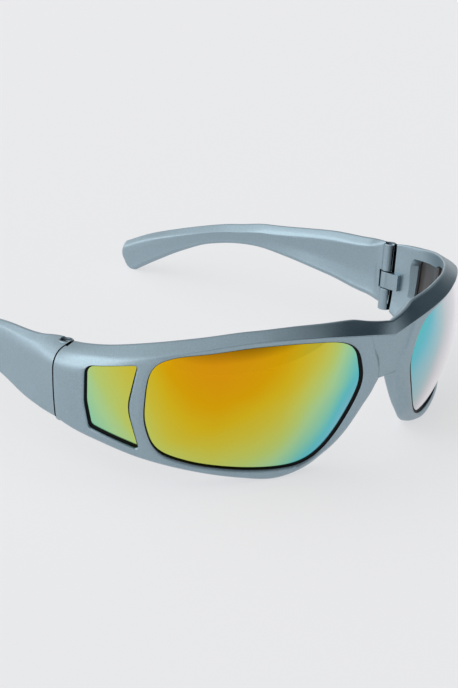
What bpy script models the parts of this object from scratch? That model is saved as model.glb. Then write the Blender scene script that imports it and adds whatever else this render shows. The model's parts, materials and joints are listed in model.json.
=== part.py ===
"""Wrap-around sports sunglasses: a moulded front, two main lenses, two side lenses and two folding temples.

The front is drawn on a curved wall. A place on it has an arc length from the bridge, a height, and a depth
behind the wall. The wearer looks along -Y, Z is up, and the glasses rest on their rims and temple tips.
"""
import math

import bmesh
import bpy
import numpy as np
from mathutils import Vector

# Overall sizes, in metres
FRONT_WIDTH = 0.1445
FRONT_HEIGHT = 0.0406
WRAP_DEPTH = 0.0483
TEMPLE_LENGTH = 0.1084

# The wall that the front follows: its heading in plan, its lean and its upright curve
PLAN_ARC_SHARES = (0.0, 0.14, 0.30, 0.455, 0.615, 0.77, 0.91, 1.0)
PLAN_HEADINGS = tuple(math.radians(a) for a in (0, 4.5, 15.5, 27.5, 40.5, 54, 73, 96))
WALL_LEAN = -0.10
WALL_CURVE_RADIUS = 0.1015
WALL_MIDDLE_SHARE = 0.515
TOP_SET_BACK = 0.0016
TOP_SET_BACK_SHARES = ((0, 0), (0.2, 0), (0.4, 0.8), (0.5, 1), (0.62, 0.9), (0.8, 0.3), (1, 0))
TOP_SET_BACK_START_SHARE = 0.5

# Edges of the front, as shares of the side's arc and of the front's height
RIDGE_SHARES = ((0, 0.933), (0.08, 0.953), (0.14, 0.976), (0.22, 0.99), (0.34, 1), (0.475, 0.989),
                (0.61, 0.954), (0.75, 0.911), (0.87, 0.867), (1, 0.831))
CREASE_SHARES = ((0, 0.827), (0.14, 0.892), (0.277, 0.936), (0.415, 0.946), (0.553, 0.919), (0.71, 0.861),
                 (0.85, 0.802), (1, 0.75))
LOWER_EDGE_SHARES = ((0, 0.55), (0.035, 0.548), (0.05, 0.528), (0.067, 0.445), (0.089, 0.354), (0.113, 0.265),
                     (0.141, 0.178), (0.174, 0.108), (0.218, 0.056), (0.275, 0.022), (0.36, 0), (0.47, 0.04),
                     (0.61, 0.108), (0.75, 0.19), (0.87, 0.279), (1, 0.351))

# Thickness of the front, its lower edge beside the nose as shares of it, and the brow's slope and overhang
FRONT_THICKNESS = 0.0056
TOE_DEPTH_SHARES = ((0, 0), (0.05, 0.03), (0.09, 0.18), (0.12, 0.27), (0.19, 0.27), (0.25, 0.12),
                    (0.33, 0), (1, 0))
FOOT_DEPTH_SHARES = ((0, 1), (0.05, 1), (0.085, 0.9), (0.115, 0.77), (0.15, 0.6), (0.19, 0.62),
                     (0.27, 1), (1, 1))
LOWER_EDGE_RISE = 0.0034
BROW_DEPTH = 0.0055
BROW_DEPTH_SHARES = ((0, -0.25), (0.05, -0.03), (0.09, 0.3), (0.14, 0.57), (0.22, 0.59), (0.4, 0.49),
                     (0.5, 0.54), (0.6, 0.63), (0.7, 0.7), (0.85, 0.85), (1, 1.03))
BROW_OVERHANG = 0.0004
BROW_OVERHANG_SHARES = ((0, 1), (0.4, 1), (0.6, 0), (1, 0))
BROW_STEP = 0.0003
BROW_MIDDLE_RISE_SHARES = ((0, 0.56), (0.7, 0.56), (1, 0.7))
FACE_STEP_SHARES = (0.52, 0.76)
BACK_DEPTH_SHARES = ((0, 1), (0.25, 1), (0.3, 0.86), (0.36, 0.64), (0.42, 0.57), (0.5, 0.59), (0.6, 0.65),
                     (0.7, 0.72), (0.8, 0.82), (0.9, 0.93), (1, 1))
BACK_FALL_SHARE = 1.0
FOOT_DROP = 0.0024
FOOT_DROP_SHARES = ((0, 0), (0.74, 0), (0.84, 1), (0.95, 1), (1, 0.75))
CREASE_DEPTH_SHARES = ((0, 0), (0.25, 0), (0.4, 0.03), (0.5, 0.06), (0.62, 0.05), (0.8, 0), (1, 0))
EDGE_ROUND = 0.0008
EDGE_ROUND_LIMIT_SHARE = 0.4
RIDGE_FLAT = 0.0008
RIDGE_FLAT_LIMIT_SHARE = 0.2
NOSE_RINGS_END_SHARE = 0.226
NOSE_RING_COUNT = 15
OUTER_RING_COUNT = 26

# Lens openings, as shares of the side's arc and of the front's height
MAIN_OPENING_SHARES = ((0.110, 0.548), (0.121, 0.714), (0.151, 0.822), (0.2105, 0.885), (0.316, 0.913),
                       (0.4545, 0.916), (0.573, 0.89), (0.682, 0.855), (0.731, 0.773), (0.744, 0.585),
                       (0.74, 0.41), (0.7065, 0.2505), (0.6225, 0.166), (0.494, 0.108), (0.356, 0.073),
                       (0.270, 0.084), (0.209, 0.162), (0.157, 0.3185))
SIDE_OPENING_SHARES = ((0.764, 0.808), (0.902, 0.766), (0.903, 0.527), (0.891, 0.365), (0.754, 0.255),
                       (0.7845, 0.527))
SIDE_OPENING_RADII = (0.0007, 0.0025, 0.0085, 0.0017, 0.0006, 0.0130)
SIDE_BACK_LIP_SHARES = (0, -0.015, -0.018, -0.011, 0, 0)
SIDE_BACK_FLARE_SHARES = (0, 0.006, 0.01, 0.028, 0, 0)
SIDE_LIP_THICKNESS = 0.0008

# Lenses and the grooves that hold them
LENS_THICKNESS = 0.0018
LENS_EDGE_INSET = 0.0013
LENS_BULGE = 0.0014
SIDE_LENS_BULGE = 0.0002
GROOVE_DEPTH = 0.0010
FIT_GAP = 0.0003
PLATE_RING_SHARES = (0.3, 0.6, 0.85, 1.0)
OUTLINE_STEP = 0.0026
PILLAR_REBATE_SHARES = ((0.68, 0.831), (0.84, 0.782), (0.84, 0.36), (0.68, 0.33))
PILLAR_REBATE_RADIUS = 0.0015

# Temples: length shares, middle heights, heights, tilts and thicknesses at the stations along one temple
TEMPLE_ROOT_HEIGHT = 0.0195
TEMPLE_ROOT_THICKNESS = 0.0060
TEMPLE_STATION_SHARES = (0.0, 0.10, 0.22, 0.43, 0.54, 0.645, 0.76, 0.875, 0.965)
TEMPLE_MIDDLE_SHARES = (0.600, 0.595, 0.616, 0.621, 0.584, 0.517, 0.407, 0.277, 0.159)
TEMPLE_HEIGHT_SHARES = (1.01, 0.899, 0.723, 0.407, 0.315, 0.306, 0.376, 0.48, 0.535)
TEMPLE_TILTS = tuple(math.radians(a) for a in (0, 0, 2, 7, 14, 20, 24, 27, 28))
TEMPLE_THICKNESS_SHARES = (1.0, 0.88, 0.78, 0.70, 0.67, 0.65, 0.61, 0.58, 0.56)
TEMPLE_INSET_SHARES = (0.0, 0.019, 0.046, 0.094, 0.111, 0.121, 0.128, 0.130, 0.128)
TEMPLE_TIP_ROUND = 0.0036
TEMPLE_TIP_SHARES = ((0.45, 0.90), (0.8, 0.62), (1.0, 0.22))
TEMPLE_TIP_DROP = 0.0020
TEMPLE_RING_COUNT = 18
TEMPLE_KNEE_SHARE = 0.2
TEMPLE_CREASE_SHARE = 0.84
TEMPLE_BROW_SHARES = (0.85, 0.56, 0.45, 0.40, 0.38, 0.38, 0.36, 0.36, 0.36)
TEMPLE_BROW_MIDDLE_SHARE = 0.66
JOINT_GAP = 0.0003

# Hinge: two knuckles on the temple, a tongue on the front and one screw
HINGE_INSET = 0.0052
HINGE_BEHIND_JOINT = 0.0016
KNUCKLE_RADIUS = 0.0020
KNUCKLE_FRONT_GAP = 0.0006
KNUCKLE_TOP_SHARE = 0.823
TONGUE_TOP_SHARE = 0.607
TONGUE_BOTTOM_SHARE = 0.484
KNUCKLE_BOTTOM_SHARE = 0.311
TONGUE_LENGTH = 0.0050
TONGUE_WEB_SHARE = 0.85
SCREW_RADIUS = 0.0007
SCREW_HEAD_RADIUS = 0.0012
SCREW_HEAD_HEIGHT = 0.0007
SCREW_HEAD_INSET = 0.0004
SCREW_SLOT_WIDTH = 0.0004
SCREW_SLOT_DEPTH = 0.00035
SCREW_END_COVER = 0.0014

# The flat on each rim and temple tip that touches the table, one overrun for every cut and a merge distance
FOOT_FLAT_DEPTH = 0.00015
CUT_OVERRUN = 0.003
MERGE_DISTANCE = 0.00001


def through(shares, at):
    """Values at the places `at` of a smooth curve through (place, value) pairs, with no overshoot."""
    x, y = np.array(shares, float).T
    step = np.diff(x)
    rise = np.diff(y) / step
    same_way = rise[:-1] * rise[1:] > 0
    first = 2 * step[1:] + step[:-1]
    second = step[1:] + 2 * step[:-1]
    safe = np.where(same_way, rise[:-1] * rise[1:], 1)
    weighted = first * rise[1:] + second * rise[:-1] + (1 - same_way)
    mean = np.where(same_way, (first + second) * safe / weighted, 0)
    slope = np.concatenate([[rise[0]], mean, [rise[-1]]])
    at = np.asarray(at, float)
    i = np.clip(np.searchsorted(x, at, side="right") - 1, 0, len(step) - 1)
    t = (at - x[i]) / step[i]
    inner = ((1 + 2 * t) * (1 - t) ** 2 * y[i] + t * (1 - t) ** 2 * step[i] * slope[i]
             + t * t * (3 - 2 * t) * y[i + 1] + t * t * (t - 1) * step[i] * slope[i + 1])
    beyond = y[-1] + slope[-1] * (at - x[-1])
    return np.where(at > x[-1], beyond, inner)


def closed_curve(points, per_span):
    """A closed Catmull-Rom curve through the points, with `per_span` steps between neighbours."""
    p = np.array(points, float)
    t = (np.arange(per_span) / per_span)[None, :, None]
    a, b, c, d = (np.roll(p, k, axis=0)[:, None, :] for k in (1, 0, -1, -2))
    return (0.5 * (2 * b + (c - a) * t + (2 * a - 5 * b + 4 * c - d) * t ** 2
                   + (3 * b - a - 3 * c + d) * t ** 3)).reshape(-1, 2)


def rounded_outline(corners, radii, steps):
    """A closed outline whose corners are arcs of the given radii."""
    p = np.array(corners, float)
    outline = []
    for i, radius in enumerate(radii):
        back = p[i - 1] - p[i]
        ahead = p[(i + 1) % len(p)] - p[i]
        u = back / np.linalg.norm(back)
        v = ahead / np.linalg.norm(ahead)
        half = math.acos(float(np.clip(u @ v, -1, 1))) / 2
        centre = p[i] + (u + v) / np.linalg.norm(u + v) * radius / math.sin(half)
        start = p[i] + u * radius / math.tan(half) - centre
        end = p[i] + v * radius / math.tan(half) - centre
        sweep = math.pi - 2 * half
        for k in range(steps + 1):
            turned = k / steps * sweep
            arc = (math.sin(sweep - turned) * start + math.sin(turned) * end) / math.sin(sweep)
            outline.append(centre + arc)
    return np.array(outline)


def stepped(loop, longest):
    """A closed outline with points added so that no step is longer than `longest`."""
    ahead = np.roll(loop, -1, axis=0)
    counts = np.ceil(np.linalg.norm(ahead - loop, axis=1) / longest).astype(int)
    starts = np.repeat(loop, counts, axis=0)
    shares = np.concatenate([np.arange(n) / n for n in counts])
    return starts + (np.repeat(ahead, counts, axis=0) - starts) * shares[:, None]


def grown(loop, distance):
    """A closed outline moved outwards by a distance."""
    ahead = np.roll(loop, -1, axis=0) - loop
    ahead /= np.linalg.norm(ahead, axis=1)[:, None]
    along = ahead + np.roll(ahead, 1, axis=0)
    along /= np.linalg.norm(along, axis=1)[:, None]
    area = np.sum(loop[:, 0] * np.roll(loop[:, 1], -1) - loop[:, 1] * np.roll(loop[:, 0], -1))
    outward = np.stack([along[:, 1], -along[:, 0]], 1) * math.copysign(1, area)
    return loop + outward * distance


def plan_curve():
    """Arc length, x, y and heading along one side of the wall, from the bridge to the joint."""
    share = np.linspace(0, 1, 401)
    heading = through(tuple(zip(PLAN_ARC_SHARES, PLAN_HEADINGS)), share)
    middle = (heading[1:] + heading[:-1]) / 2
    x = np.concatenate([[0], np.cumsum(np.cos(middle))])
    y = np.concatenate([[0], np.cumsum(np.sin(middle))])
    x *= FRONT_WIDTH / 2 / x.max()
    y *= WRAP_DEPTH / y[-1]
    step = np.hypot(np.diff(x), np.diff(y))
    heading = np.interp(share, (share[1:] + share[:-1]) / 2, np.unwrap(np.arctan2(np.diff(y), np.diff(x))))
    heading[0] = 0
    return np.concatenate([[0], np.cumsum(step)]), x, y, heading


PLAN_ARC, PLAN_X, PLAN_Y, PLAN_HEADING = plan_curve()
SIDE_ARC = PLAN_ARC[-1]


def wall_offset(z):
    """How far the wall leans and curves back from its plan line at a height."""
    up = z - WALL_MIDDLE_SHARE * FRONT_HEIGHT
    return up * WALL_LEAN + up * up / (2 * WALL_CURVE_RADIUS)


def on_front(arc, z, depth):
    """World points of places on the wall, for arrays of arc length, height and depth behind the wall."""
    along = np.abs(arc)
    heading = np.interp(along, PLAN_ARC, PLAN_HEADING)
    over = np.maximum(along - SIDE_ARC, 0)
    up = np.clip((z / FRONT_HEIGHT - TOP_SET_BACK_START_SHARE) / (1 - TOP_SET_BACK_START_SHARE), 0, 1)
    set_back = TOP_SET_BACK * through(TOP_SET_BACK_SHARES, np.minimum(along / SIDE_ARC, 1)) * up * up
    back = depth + wall_offset(z) + set_back
    x = np.interp(along, PLAN_ARC, PLAN_X) + over * np.cos(heading) - back * np.sin(heading)
    y = np.interp(along, PLAN_ARC, PLAN_Y) + over * np.sin(heading) + back * np.cos(heading)
    return np.stack([np.where(arc < 0, -x, x), y, z + 0 * x], -1)


def bar_profile(heights, brow, back):
    """Depth and height pairs round a bar whose upper face slopes back as a brow, from its lower front edge.

    `heights` holds the bottom, the height where the lower edge's slopes end, the crease and the top. `brow`
    holds the depths just below and just above the crease, the ridge's depth and how far up the brow bends.
    `back` holds the thickness at the lower edge and above it, the depths of the lower edge's front and back,
    and how far the back one drops.
    """
    bottom, knee, crease, top = heights
    below, above, ridge, rise = brow
    thickness, upper, toe_depth, foot_depth, drop = back
    low, high = (bottom + share * (crease - bottom) for share in FACE_STEP_SHARES)
    edge = min(EDGE_ROUND, EDGE_ROUND_LIMIT_SHARE * min(foot_depth - toe_depth, knee - bottom))
    step = min(BROW_STEP, EDGE_ROUND_LIMIT_SHARE * (top - crease))
    flat = min(RIDGE_FLAT, RIDGE_FLAT_LIMIT_SHARE * thickness)
    back_top = top - max(edge, BACK_FALL_SHARE * (upper - ridge))
    return np.array([
        (toe_depth + edge, bottom), (toe_depth, bottom + edge), (0, knee), (0, low), (0, high),
        (below, crease), (above, crease + step), ((above + ridge) / 2, crease + rise * (top - crease)),
        (ridge, top), (ridge + flat, top), (upper + flat, back_top), (upper + flat, high),
        (upper + flat / 2, low), (thickness, knee), (foot_depth, bottom + edge - drop),
        (foot_depth - edge, bottom - drop),
    ])


def front_profile(share, foot_drop):
    """The bar's profile at a share of the side's arc, with the most that its inner lower edge drops."""
    bottom = through(LOWER_EDGE_SHARES, share) * FRONT_HEIGHT - FOOT_FLAT_DEPTH
    crease = through(CREASE_SHARES, share) * FRONT_HEIGHT
    top = through(RIDGE_SHARES, share) * FRONT_HEIGHT
    crease_depth = through(CREASE_DEPTH_SHARES, share) * FRONT_THICKNESS
    overhang = through(BROW_OVERHANG_SHARES, share) * BROW_OVERHANG
    brow = (crease_depth, crease_depth - overhang, through(BROW_DEPTH_SHARES, share) * BROW_DEPTH,
            through(BROW_MIDDLE_RISE_SHARES, share))
    depths = (through(table, share) * FRONT_THICKNESS
              for table in (BACK_DEPTH_SHARES, TOE_DEPTH_SHARES, FOOT_DEPTH_SHARES))
    back = (FRONT_THICKNESS, *depths, through(FOOT_DROP_SHARES, share) * foot_drop)
    return bar_profile((bottom, bottom + LOWER_EDGE_RISE, crease, top), brow, back)


def front_rings():
    """The closed profiles of the front's blank, from the wearer's right joint to the left one."""
    nose = np.linspace(0, NOSE_RINGS_END_SHARE, NOSE_RING_COUNT)
    outer = np.linspace(NOSE_RINGS_END_SHARE, 1, OUTER_RING_COUNT)[1:]
    half = np.concatenate([nose, outer])
    shares = np.concatenate([-half[:0:-1], half])
    rings = []
    for share in shares:
        profile = front_profile(abs(share), FOOT_DROP)
        rings.append(on_front(np.full(len(profile), share * SIDE_ARC), profile[:, 1], profile[:, 0]))
    return np.array(rings)


def joint_point(beyond):
    """The point of the wall in the middle of its joint line, or a little beyond it."""
    arc, z = np.array([[SIDE_ARC + beyond], [WALL_MIDDLE_SHARE * FRONT_HEIGHT]])
    return on_front(arc, z, 0 * SIDE_ARC)[0]


def temple_rings():
    """The closed profiles of the wearer's left temple, from its joint to its rounded tip."""
    joint = joint_point(JOINT_GAP)
    profile = front_profile(1.0, 0)
    rings = [on_front(np.full(len(profile), SIDE_ARC + JOINT_GAP), profile[:, 1], profile[:, 0])]
    shares = np.linspace(0, TEMPLE_STATION_SHARES[-1], TEMPLE_RING_COUNT)
    x = joint[0] - at_stations(TEMPLE_INSET_SHARES, shares) * FRONT_WIDTH / 2
    y = joint[1] + shares * TEMPLE_LENGTH
    turns = np.arctan2(np.gradient(x, y), 1)
    for place in zip(shares[1:], x[1:], y[1:], turns[1:]):
        rings.append(temple_ring(place, 1.0, 0.0))
    for advance, size in TEMPLE_TIP_SHARES:
        rings.append(temple_ring((shares[-1], x[-1], y[-1], turns[-1]), size, advance * TEMPLE_TIP_ROUND))
    return np.array(rings)


def at_stations(values, shares):
    """A smooth curve through the values at the temple's stations, read at shares of its length."""
    return through(tuple(zip(TEMPLE_STATION_SHARES, values)), shares)


def temple_ring(place, size, advance):
    """One closed profile of a temple, square to its line, with the brow's slope along its top."""
    share, x, y, turn = place
    height = at_stations(TEMPLE_HEIGHT_SHARES, share) * TEMPLE_ROOT_HEIGHT * size
    thick = at_stations(TEMPLE_THICKNESS_SHARES, share) * TEMPLE_ROOT_THICKNESS
    slim = thick * size
    heights = height * (np.array([0, TEMPLE_KNEE_SHARE, TEMPLE_CREASE_SHARE, 1]) - 0.5)
    brow = (0, 0, slim * at_stations(TEMPLE_BROW_SHARES, share), TEMPLE_BROW_MIDDLE_SHARE)
    thickness = slim - RIDGE_FLAT * size
    profile = bar_profile(heights, brow, (thickness, thickness, 0, thickness, 0))
    depth = profile[:, 0] + (thick - slim) / 2
    tilt = at_stations(TEMPLE_TILTS, share)
    middle = at_stations(TEMPLE_MIDDLE_SHARES, share) * FRONT_HEIGHT - TEMPLE_TIP_DROP * share ** 3
    inward = np.array([-math.cos(turn), math.sin(turn), 0])
    along = np.array([math.sin(turn) * math.cos(tilt), math.cos(turn) * math.cos(tilt), -math.sin(tilt)])
    up = np.array([0, math.sin(tilt), math.cos(tilt)])
    start = np.array([x, y, middle]) + along * advance
    return start + depth[:, None] * inward + profile[:, 1][:, None] * up


TEMPLE_RINGS = temple_rings()
FRONT_RINGS = front_rings()
MIDDLE_Y = (FRONT_RINGS[..., 1].min() + TEMPLE_RINGS[..., 1].max()) / 2
HINGE_X = joint_point(0)[0] - HINGE_INSET
HINGE_Y = joint_point(0)[1] + HINGE_BEHIND_JOINT - MIDDLE_Y
KNUCKLE_TOP = KNUCKLE_TOP_SHARE * FRONT_HEIGHT
TONGUE_TOP = TONGUE_TOP_SHARE * FRONT_HEIGHT
TONGUE_BOTTOM = TONGUE_BOTTOM_SHARE * FRONT_HEIGHT
KNUCKLE_BOTTOM = KNUCKLE_BOTTOM_SHARE * FRONT_HEIGHT


def material(name, colour, roughness, metallic):
    """A plain Principled material."""
    made = bpy.data.materials.new(name)
    made.use_nodes = True
    shader = made.node_tree.nodes["Principled BSDF"]
    shader.inputs["Base Color"].default_value = (*colour, 1)
    shader.inputs["Roughness"].default_value = roughness
    shader.inputs["Metallic"].default_value = metallic
    return made


def new_object(name, mesh, collection, made=None):
    """An object for a mesh in a collection; a cutter has no material and isn't rendered."""
    thing = bpy.data.objects.new(name, mesh)
    collection.objects.link(thing)
    if made:
        mesh.materials.append(made)
        mesh.shade_smooth()
        mesh.set_sharp_from_angle(angle=math.radians(35))
    else:
        thing.hide_render = True
        thing.display_type = "WIRE"
    return thing


def mesh_from(name, points, faces, side):
    """A closed mesh of triangles for one side. The right side mirrors the left one and turns its faces."""
    placed = np.array(points, float) * (side, 1, 1)
    mesh = bpy.data.meshes.new(name)
    mesh.from_pydata(placed.tolist(), [], [f if side > 0 else f[::-1] for f in faces])
    bm = bmesh.new()
    bm.from_mesh(mesh)
    bmesh.ops.triangulate(bm, faces=bm.faces)
    bmesh.ops.recalc_face_normals(bm, faces=bm.faces)
    if bm.calc_volume(signed=True) < 0:
        bmesh.ops.reverse_faces(bm, faces=bm.faces)
    bm.to_mesh(mesh)
    bm.free()
    return mesh


def loft_mesh(name, rings, side=1):
    """A tube through closed profiles of one point count, with both ends capped."""
    count, around = rings.shape[:2]
    faces = [tuple(range(around))[::-1], tuple(range((count - 1) * around, count * around))]
    for i in range(count - 1):
        for k in range(around):
            n = (k + 1) % around
            faces.append((i * around + k, i * around + n, (i + 1) * around + n, (i + 1) * around + k))
    return mesh_from(name, rings.reshape(-1, 3), faces, side)


def plate_mesh(name, rims, bulge, side):
    """A plate that follows the wall. `rims` holds its outline's arc and height pairs and its depth, in steps.

    The front face closes the first rim and the back face the last one, and both bulge forward in the middle.
    """
    around = len(rims[0][0])
    centre = rims[0][0].mean(axis=0)
    points = []
    for loop, depth in (rims[0], rims[-1]):
        points.append(on_front(centre[:1], centre[1:], np.array([depth - bulge])))
        for share in PLATE_RING_SHARES:
            ring = centre + (loop - centre) * share
            points.append(on_front(ring[:, 0], ring[:, 1], np.full(around, depth - bulge * (1 - share ** 2))))
    for loop, depth in rims[1:-1]:
        points.append(on_front(loop[:, 0], loop[:, 1], np.full(around, depth)))
    half = 1 + len(PLATE_RING_SHARES) * around
    faces = []
    for base in (0, half):
        for k in range(around):
            n = (k + 1) % around
            faces.append((base, base + 1 + k, base + 1 + n))
            for r in range(len(PLATE_RING_SHARES) - 1):
                a = base + 1 + r * around
                faces.append((a + k, a + around + k, a + around + n, a + n))
    steps = [half - around] + [2 * half + r * around for r in range(len(rims) - 2)] + [2 * half - around]
    for a, b in zip(steps[:-1], steps[1:]):
        for k in range(around):
            n = (k + 1) % around
            faces.append((a + k, b + k, b + n, a + n))
    points = np.concatenate(points) - (0, MIDDLE_Y, 0)
    return mesh_from(name, points, faces, side)


def upright_cylinder(name, radius, bottom, top, x, y, collection, segments=28):
    """A standing cylinder as a helper solid."""
    mesh = bpy.data.meshes.new(name)
    bm = bmesh.new()
    bmesh.ops.create_cone(bm, cap_ends=True, segments=segments, radius1=radius, radius2=radius,
                          depth=top - bottom)
    bmesh.ops.translate(bm, verts=bm.verts, vec=Vector((x, y, (top + bottom) / 2)))
    bm.to_mesh(mesh)
    bm.free()
    return new_object(name, mesh, collection)


def block(name, low, high, collection):
    """A box between two corners as a helper solid."""
    mesh = bpy.data.meshes.new(name)
    bm = bmesh.new()
    bmesh.ops.create_cube(bm, size=1)
    size = Vector(high) - Vector(low)
    bmesh.ops.scale(bm, verts=bm.verts, vec=size)
    bmesh.ops.translate(bm, verts=bm.verts, vec=(Vector(high) + Vector(low)) / 2)
    bm.to_mesh(mesh)
    bm.free()
    return new_object(name, mesh, collection)


def combine(thing, helper, operation, solver="EXACT"):
    """A Boolean of a helper solid on a piece."""
    step = thing.modifiers.new(helper.name, "BOOLEAN")
    step.operation = operation
    step.object = helper
    step.solver = solver


def main_opening():
    """The main lens opening on the wall."""
    return closed_curve(np.array(MAIN_OPENING_SHARES) * (SIDE_ARC, FRONT_HEIGHT), 3)


def side_opening(shift_shares=0):
    """The side lens opening on the wall, or one behind its lens, with its corners shifted along the wall."""
    corners = np.array(SIDE_OPENING_SHARES) * (SIDE_ARC, FRONT_HEIGHT)
    corners[:, 0] += np.array(shift_shares) * SIDE_ARC
    return rounded_outline(corners, SIDE_OPENING_RADII, 4)


def side_openings():
    """The side lens opening, the lip behind its lens and the lip's flared back edge, point for point."""
    outlines = [side_opening(shift) for shift in (0, SIDE_BACK_LIP_SHARES, SIDE_BACK_FLARE_SHARES)]
    joined = stepped(np.concatenate(outlines, axis=1), OUTLINE_STEP)
    return joined[:, :2], joined[:, 2:4], joined[:, 4:]


def table_cutter(collection):
    """Everything below the table plane, which leaves a small flat on each piece that touches it."""
    reach = FRONT_WIDTH
    return block("table_cut", (-reach, -reach, -FRONT_HEIGHT), (reach, reach, 0), collection)


def make_front(parts, helpers, paint):
    """The moulded front with its lens openings, grooves and hinge tongues."""
    front = new_object("front_frame", loft_mesh("front_frame", FRONT_RINGS - (0, MIDDLE_Y, 0)), parts, paint)
    groove_front = LENS_EDGE_INSET - FIT_GAP
    groove_back = LENS_EDGE_INSET + LENS_THICKNESS + FIT_GAP
    for side, word in ((-1, "right"), (1, "left")):
        for kind, (loop, lip, flare) in (("main", (main_opening(),) * 3), ("side", side_openings())):
            wide = grown(loop, GROOVE_DEPTH)
            rims = ((loop, -CUT_OVERRUN), (loop, groove_front), (wide, groove_front), (wide, groove_back),
                    (lip, groove_back), (lip, groove_back + SIDE_LIP_THICKNESS),
                    (flare, FRONT_THICKNESS + RIDGE_FLAT), (flare, FRONT_THICKNESS + CUT_OVERRUN))
            hole = plate_mesh(f"{kind}_hole_{word}", rims, 0, side)
            combine(front, new_object(hole.name, hole, helpers), "DIFFERENCE", "MANIFOLD")
        rebate = np.array(PILLAR_REBATE_SHARES) * (SIDE_ARC, FRONT_HEIGHT)
        rebate = stepped(rounded_outline(rebate, [PILLAR_REBATE_RADIUS] * len(rebate), 2), OUTLINE_STEP)
        rims = ((rebate, LENS_EDGE_INSET + LENS_THICKNESS / 2), (rebate, FRONT_THICKNESS + CUT_OVERRUN))
        hollow = plate_mesh(f"pillar_rebate_{word}", rims, 0, side)
        combine(front, new_object(hollow.name, hollow, helpers), "DIFFERENCE", "MANIFOLD")
        x = side * HINGE_X
        clear = KNUCKLE_RADIUS + FIT_GAP
        inner = x - side * (clear + CUT_OVERRUN)
        outer = x + side * clear
        relief = block(f"knuckle_relief_{word}",
                       (min(inner, outer), HINGE_Y - clear - KNUCKLE_FRONT_GAP, -CUT_OVERRUN),
                       (max(inner, outer), HINGE_Y + clear, FRONT_HEIGHT + CUT_OVERRUN), helpers)
        combine(front, relief, "DIFFERENCE", "MANIFOLD")
        half_web = TONGUE_WEB_SHARE * KNUCKLE_RADIUS
        web = block(f"tongue_web_{word}", (x - half_web, HINGE_Y - TONGUE_LENGTH, TONGUE_BOTTOM),
                    (x + half_web, HINGE_Y, TONGUE_TOP), helpers)
        combine(front, web, "UNION", "MANIFOLD")
        eye = upright_cylinder(f"tongue_eye_{word}", KNUCKLE_RADIUS, TONGUE_BOTTOM, TONGUE_TOP,
                               x, HINGE_Y, helpers)
        combine(front, eye, "UNION", "MANIFOLD")
        hole = upright_cylinder(f"tongue_hole_{word}", SCREW_RADIUS + FIT_GAP, TONGUE_BOTTOM - CUT_OVERRUN,
                                TONGUE_TOP + CUT_OVERRUN, x, HINGE_Y, helpers, 16)
        combine(front, hole, "DIFFERENCE", "MANIFOLD")
    combine(front, table_cutter(helpers), "DIFFERENCE", "MANIFOLD")


def make_lenses(parts, mirror_coat):
    """The two main lenses and the two side lenses, held in the front's grooves."""
    for side, word in ((-1, "right"), (1, "left")):
        for kind, loop, bulge in (("lens", main_opening(), LENS_BULGE),
                                  ("side_lens", side_openings()[0], SIDE_LENS_BULGE)):
            outline = grown(loop, GROOVE_DEPTH - FIT_GAP)
            name = f"{kind}_{word}"
            back = LENS_EDGE_INSET + LENS_THICKNESS
            rims = ((outline, LENS_EDGE_INSET), (outline, back))
            new_object(name, plate_mesh(name, rims, bulge, side), parts, mirror_coat)


def make_temples(parts, helpers, paint):
    """The two temples, each with its two knuckles, the slot for the tongue and the screw's bore."""
    for side, word in ((-1, "right"), (1, "left")):
        axis = (side * HINGE_X, HINGE_Y, 0)
        mesh = loft_mesh(f"temple_{word}", TEMPLE_RINGS - (HINGE_X, HINGE_Y + MIDDLE_Y, 0), side)
        temple = new_object(f"temple_{word}", mesh, parts, paint)
        temple.location = axis
        slot_radius = KNUCKLE_RADIUS + FIT_GAP
        for level, bottom, top in (("upper", TONGUE_TOP + FIT_GAP, KNUCKLE_TOP),
                                   ("lower", KNUCKLE_BOTTOM, TONGUE_BOTTOM - FIT_GAP)):
            knuckle = upright_cylinder(f"knuckle_{level}_{word}", KNUCKLE_RADIUS, bottom, top,
                                       axis[0], HINGE_Y, helpers)
            combine(temple, knuckle, "UNION", "MANIFOLD")
        inner = axis[0] - side * TONGUE_LENGTH
        outer = axis[0] + side * slot_radius
        slot = block(f"tongue_slot_{word}",
                     (min(inner, outer), HINGE_Y - TONGUE_LENGTH, TONGUE_BOTTOM - FIT_GAP),
                     (max(inner, outer), HINGE_Y + slot_radius, TONGUE_TOP + FIT_GAP), helpers)
        combine(temple, slot, "DIFFERENCE", "MANIFOLD")
        bore = upright_cylinder(f"screw_bore_{word}", SCREW_RADIUS + FIT_GAP,
                                KNUCKLE_BOTTOM + SCREW_END_COVER, FRONT_HEIGHT,
                                axis[0], HINGE_Y, helpers, 16)
        combine(temple, bore, "DIFFERENCE", "MANIFOLD")
        seat = upright_cylinder(f"screw_seat_{word}", SCREW_HEAD_RADIUS + FIT_GAP,
                                KNUCKLE_TOP - SCREW_HEAD_INSET - SCREW_HEAD_HEIGHT - FIT_GAP, FRONT_HEIGHT,
                                axis[0], HINGE_Y, helpers, 20)
        combine(temple, seat, "DIFFERENCE", "MANIFOLD")
        combine(temple, table_cutter(helpers), "DIFFERENCE", "MANIFOLD")


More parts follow.
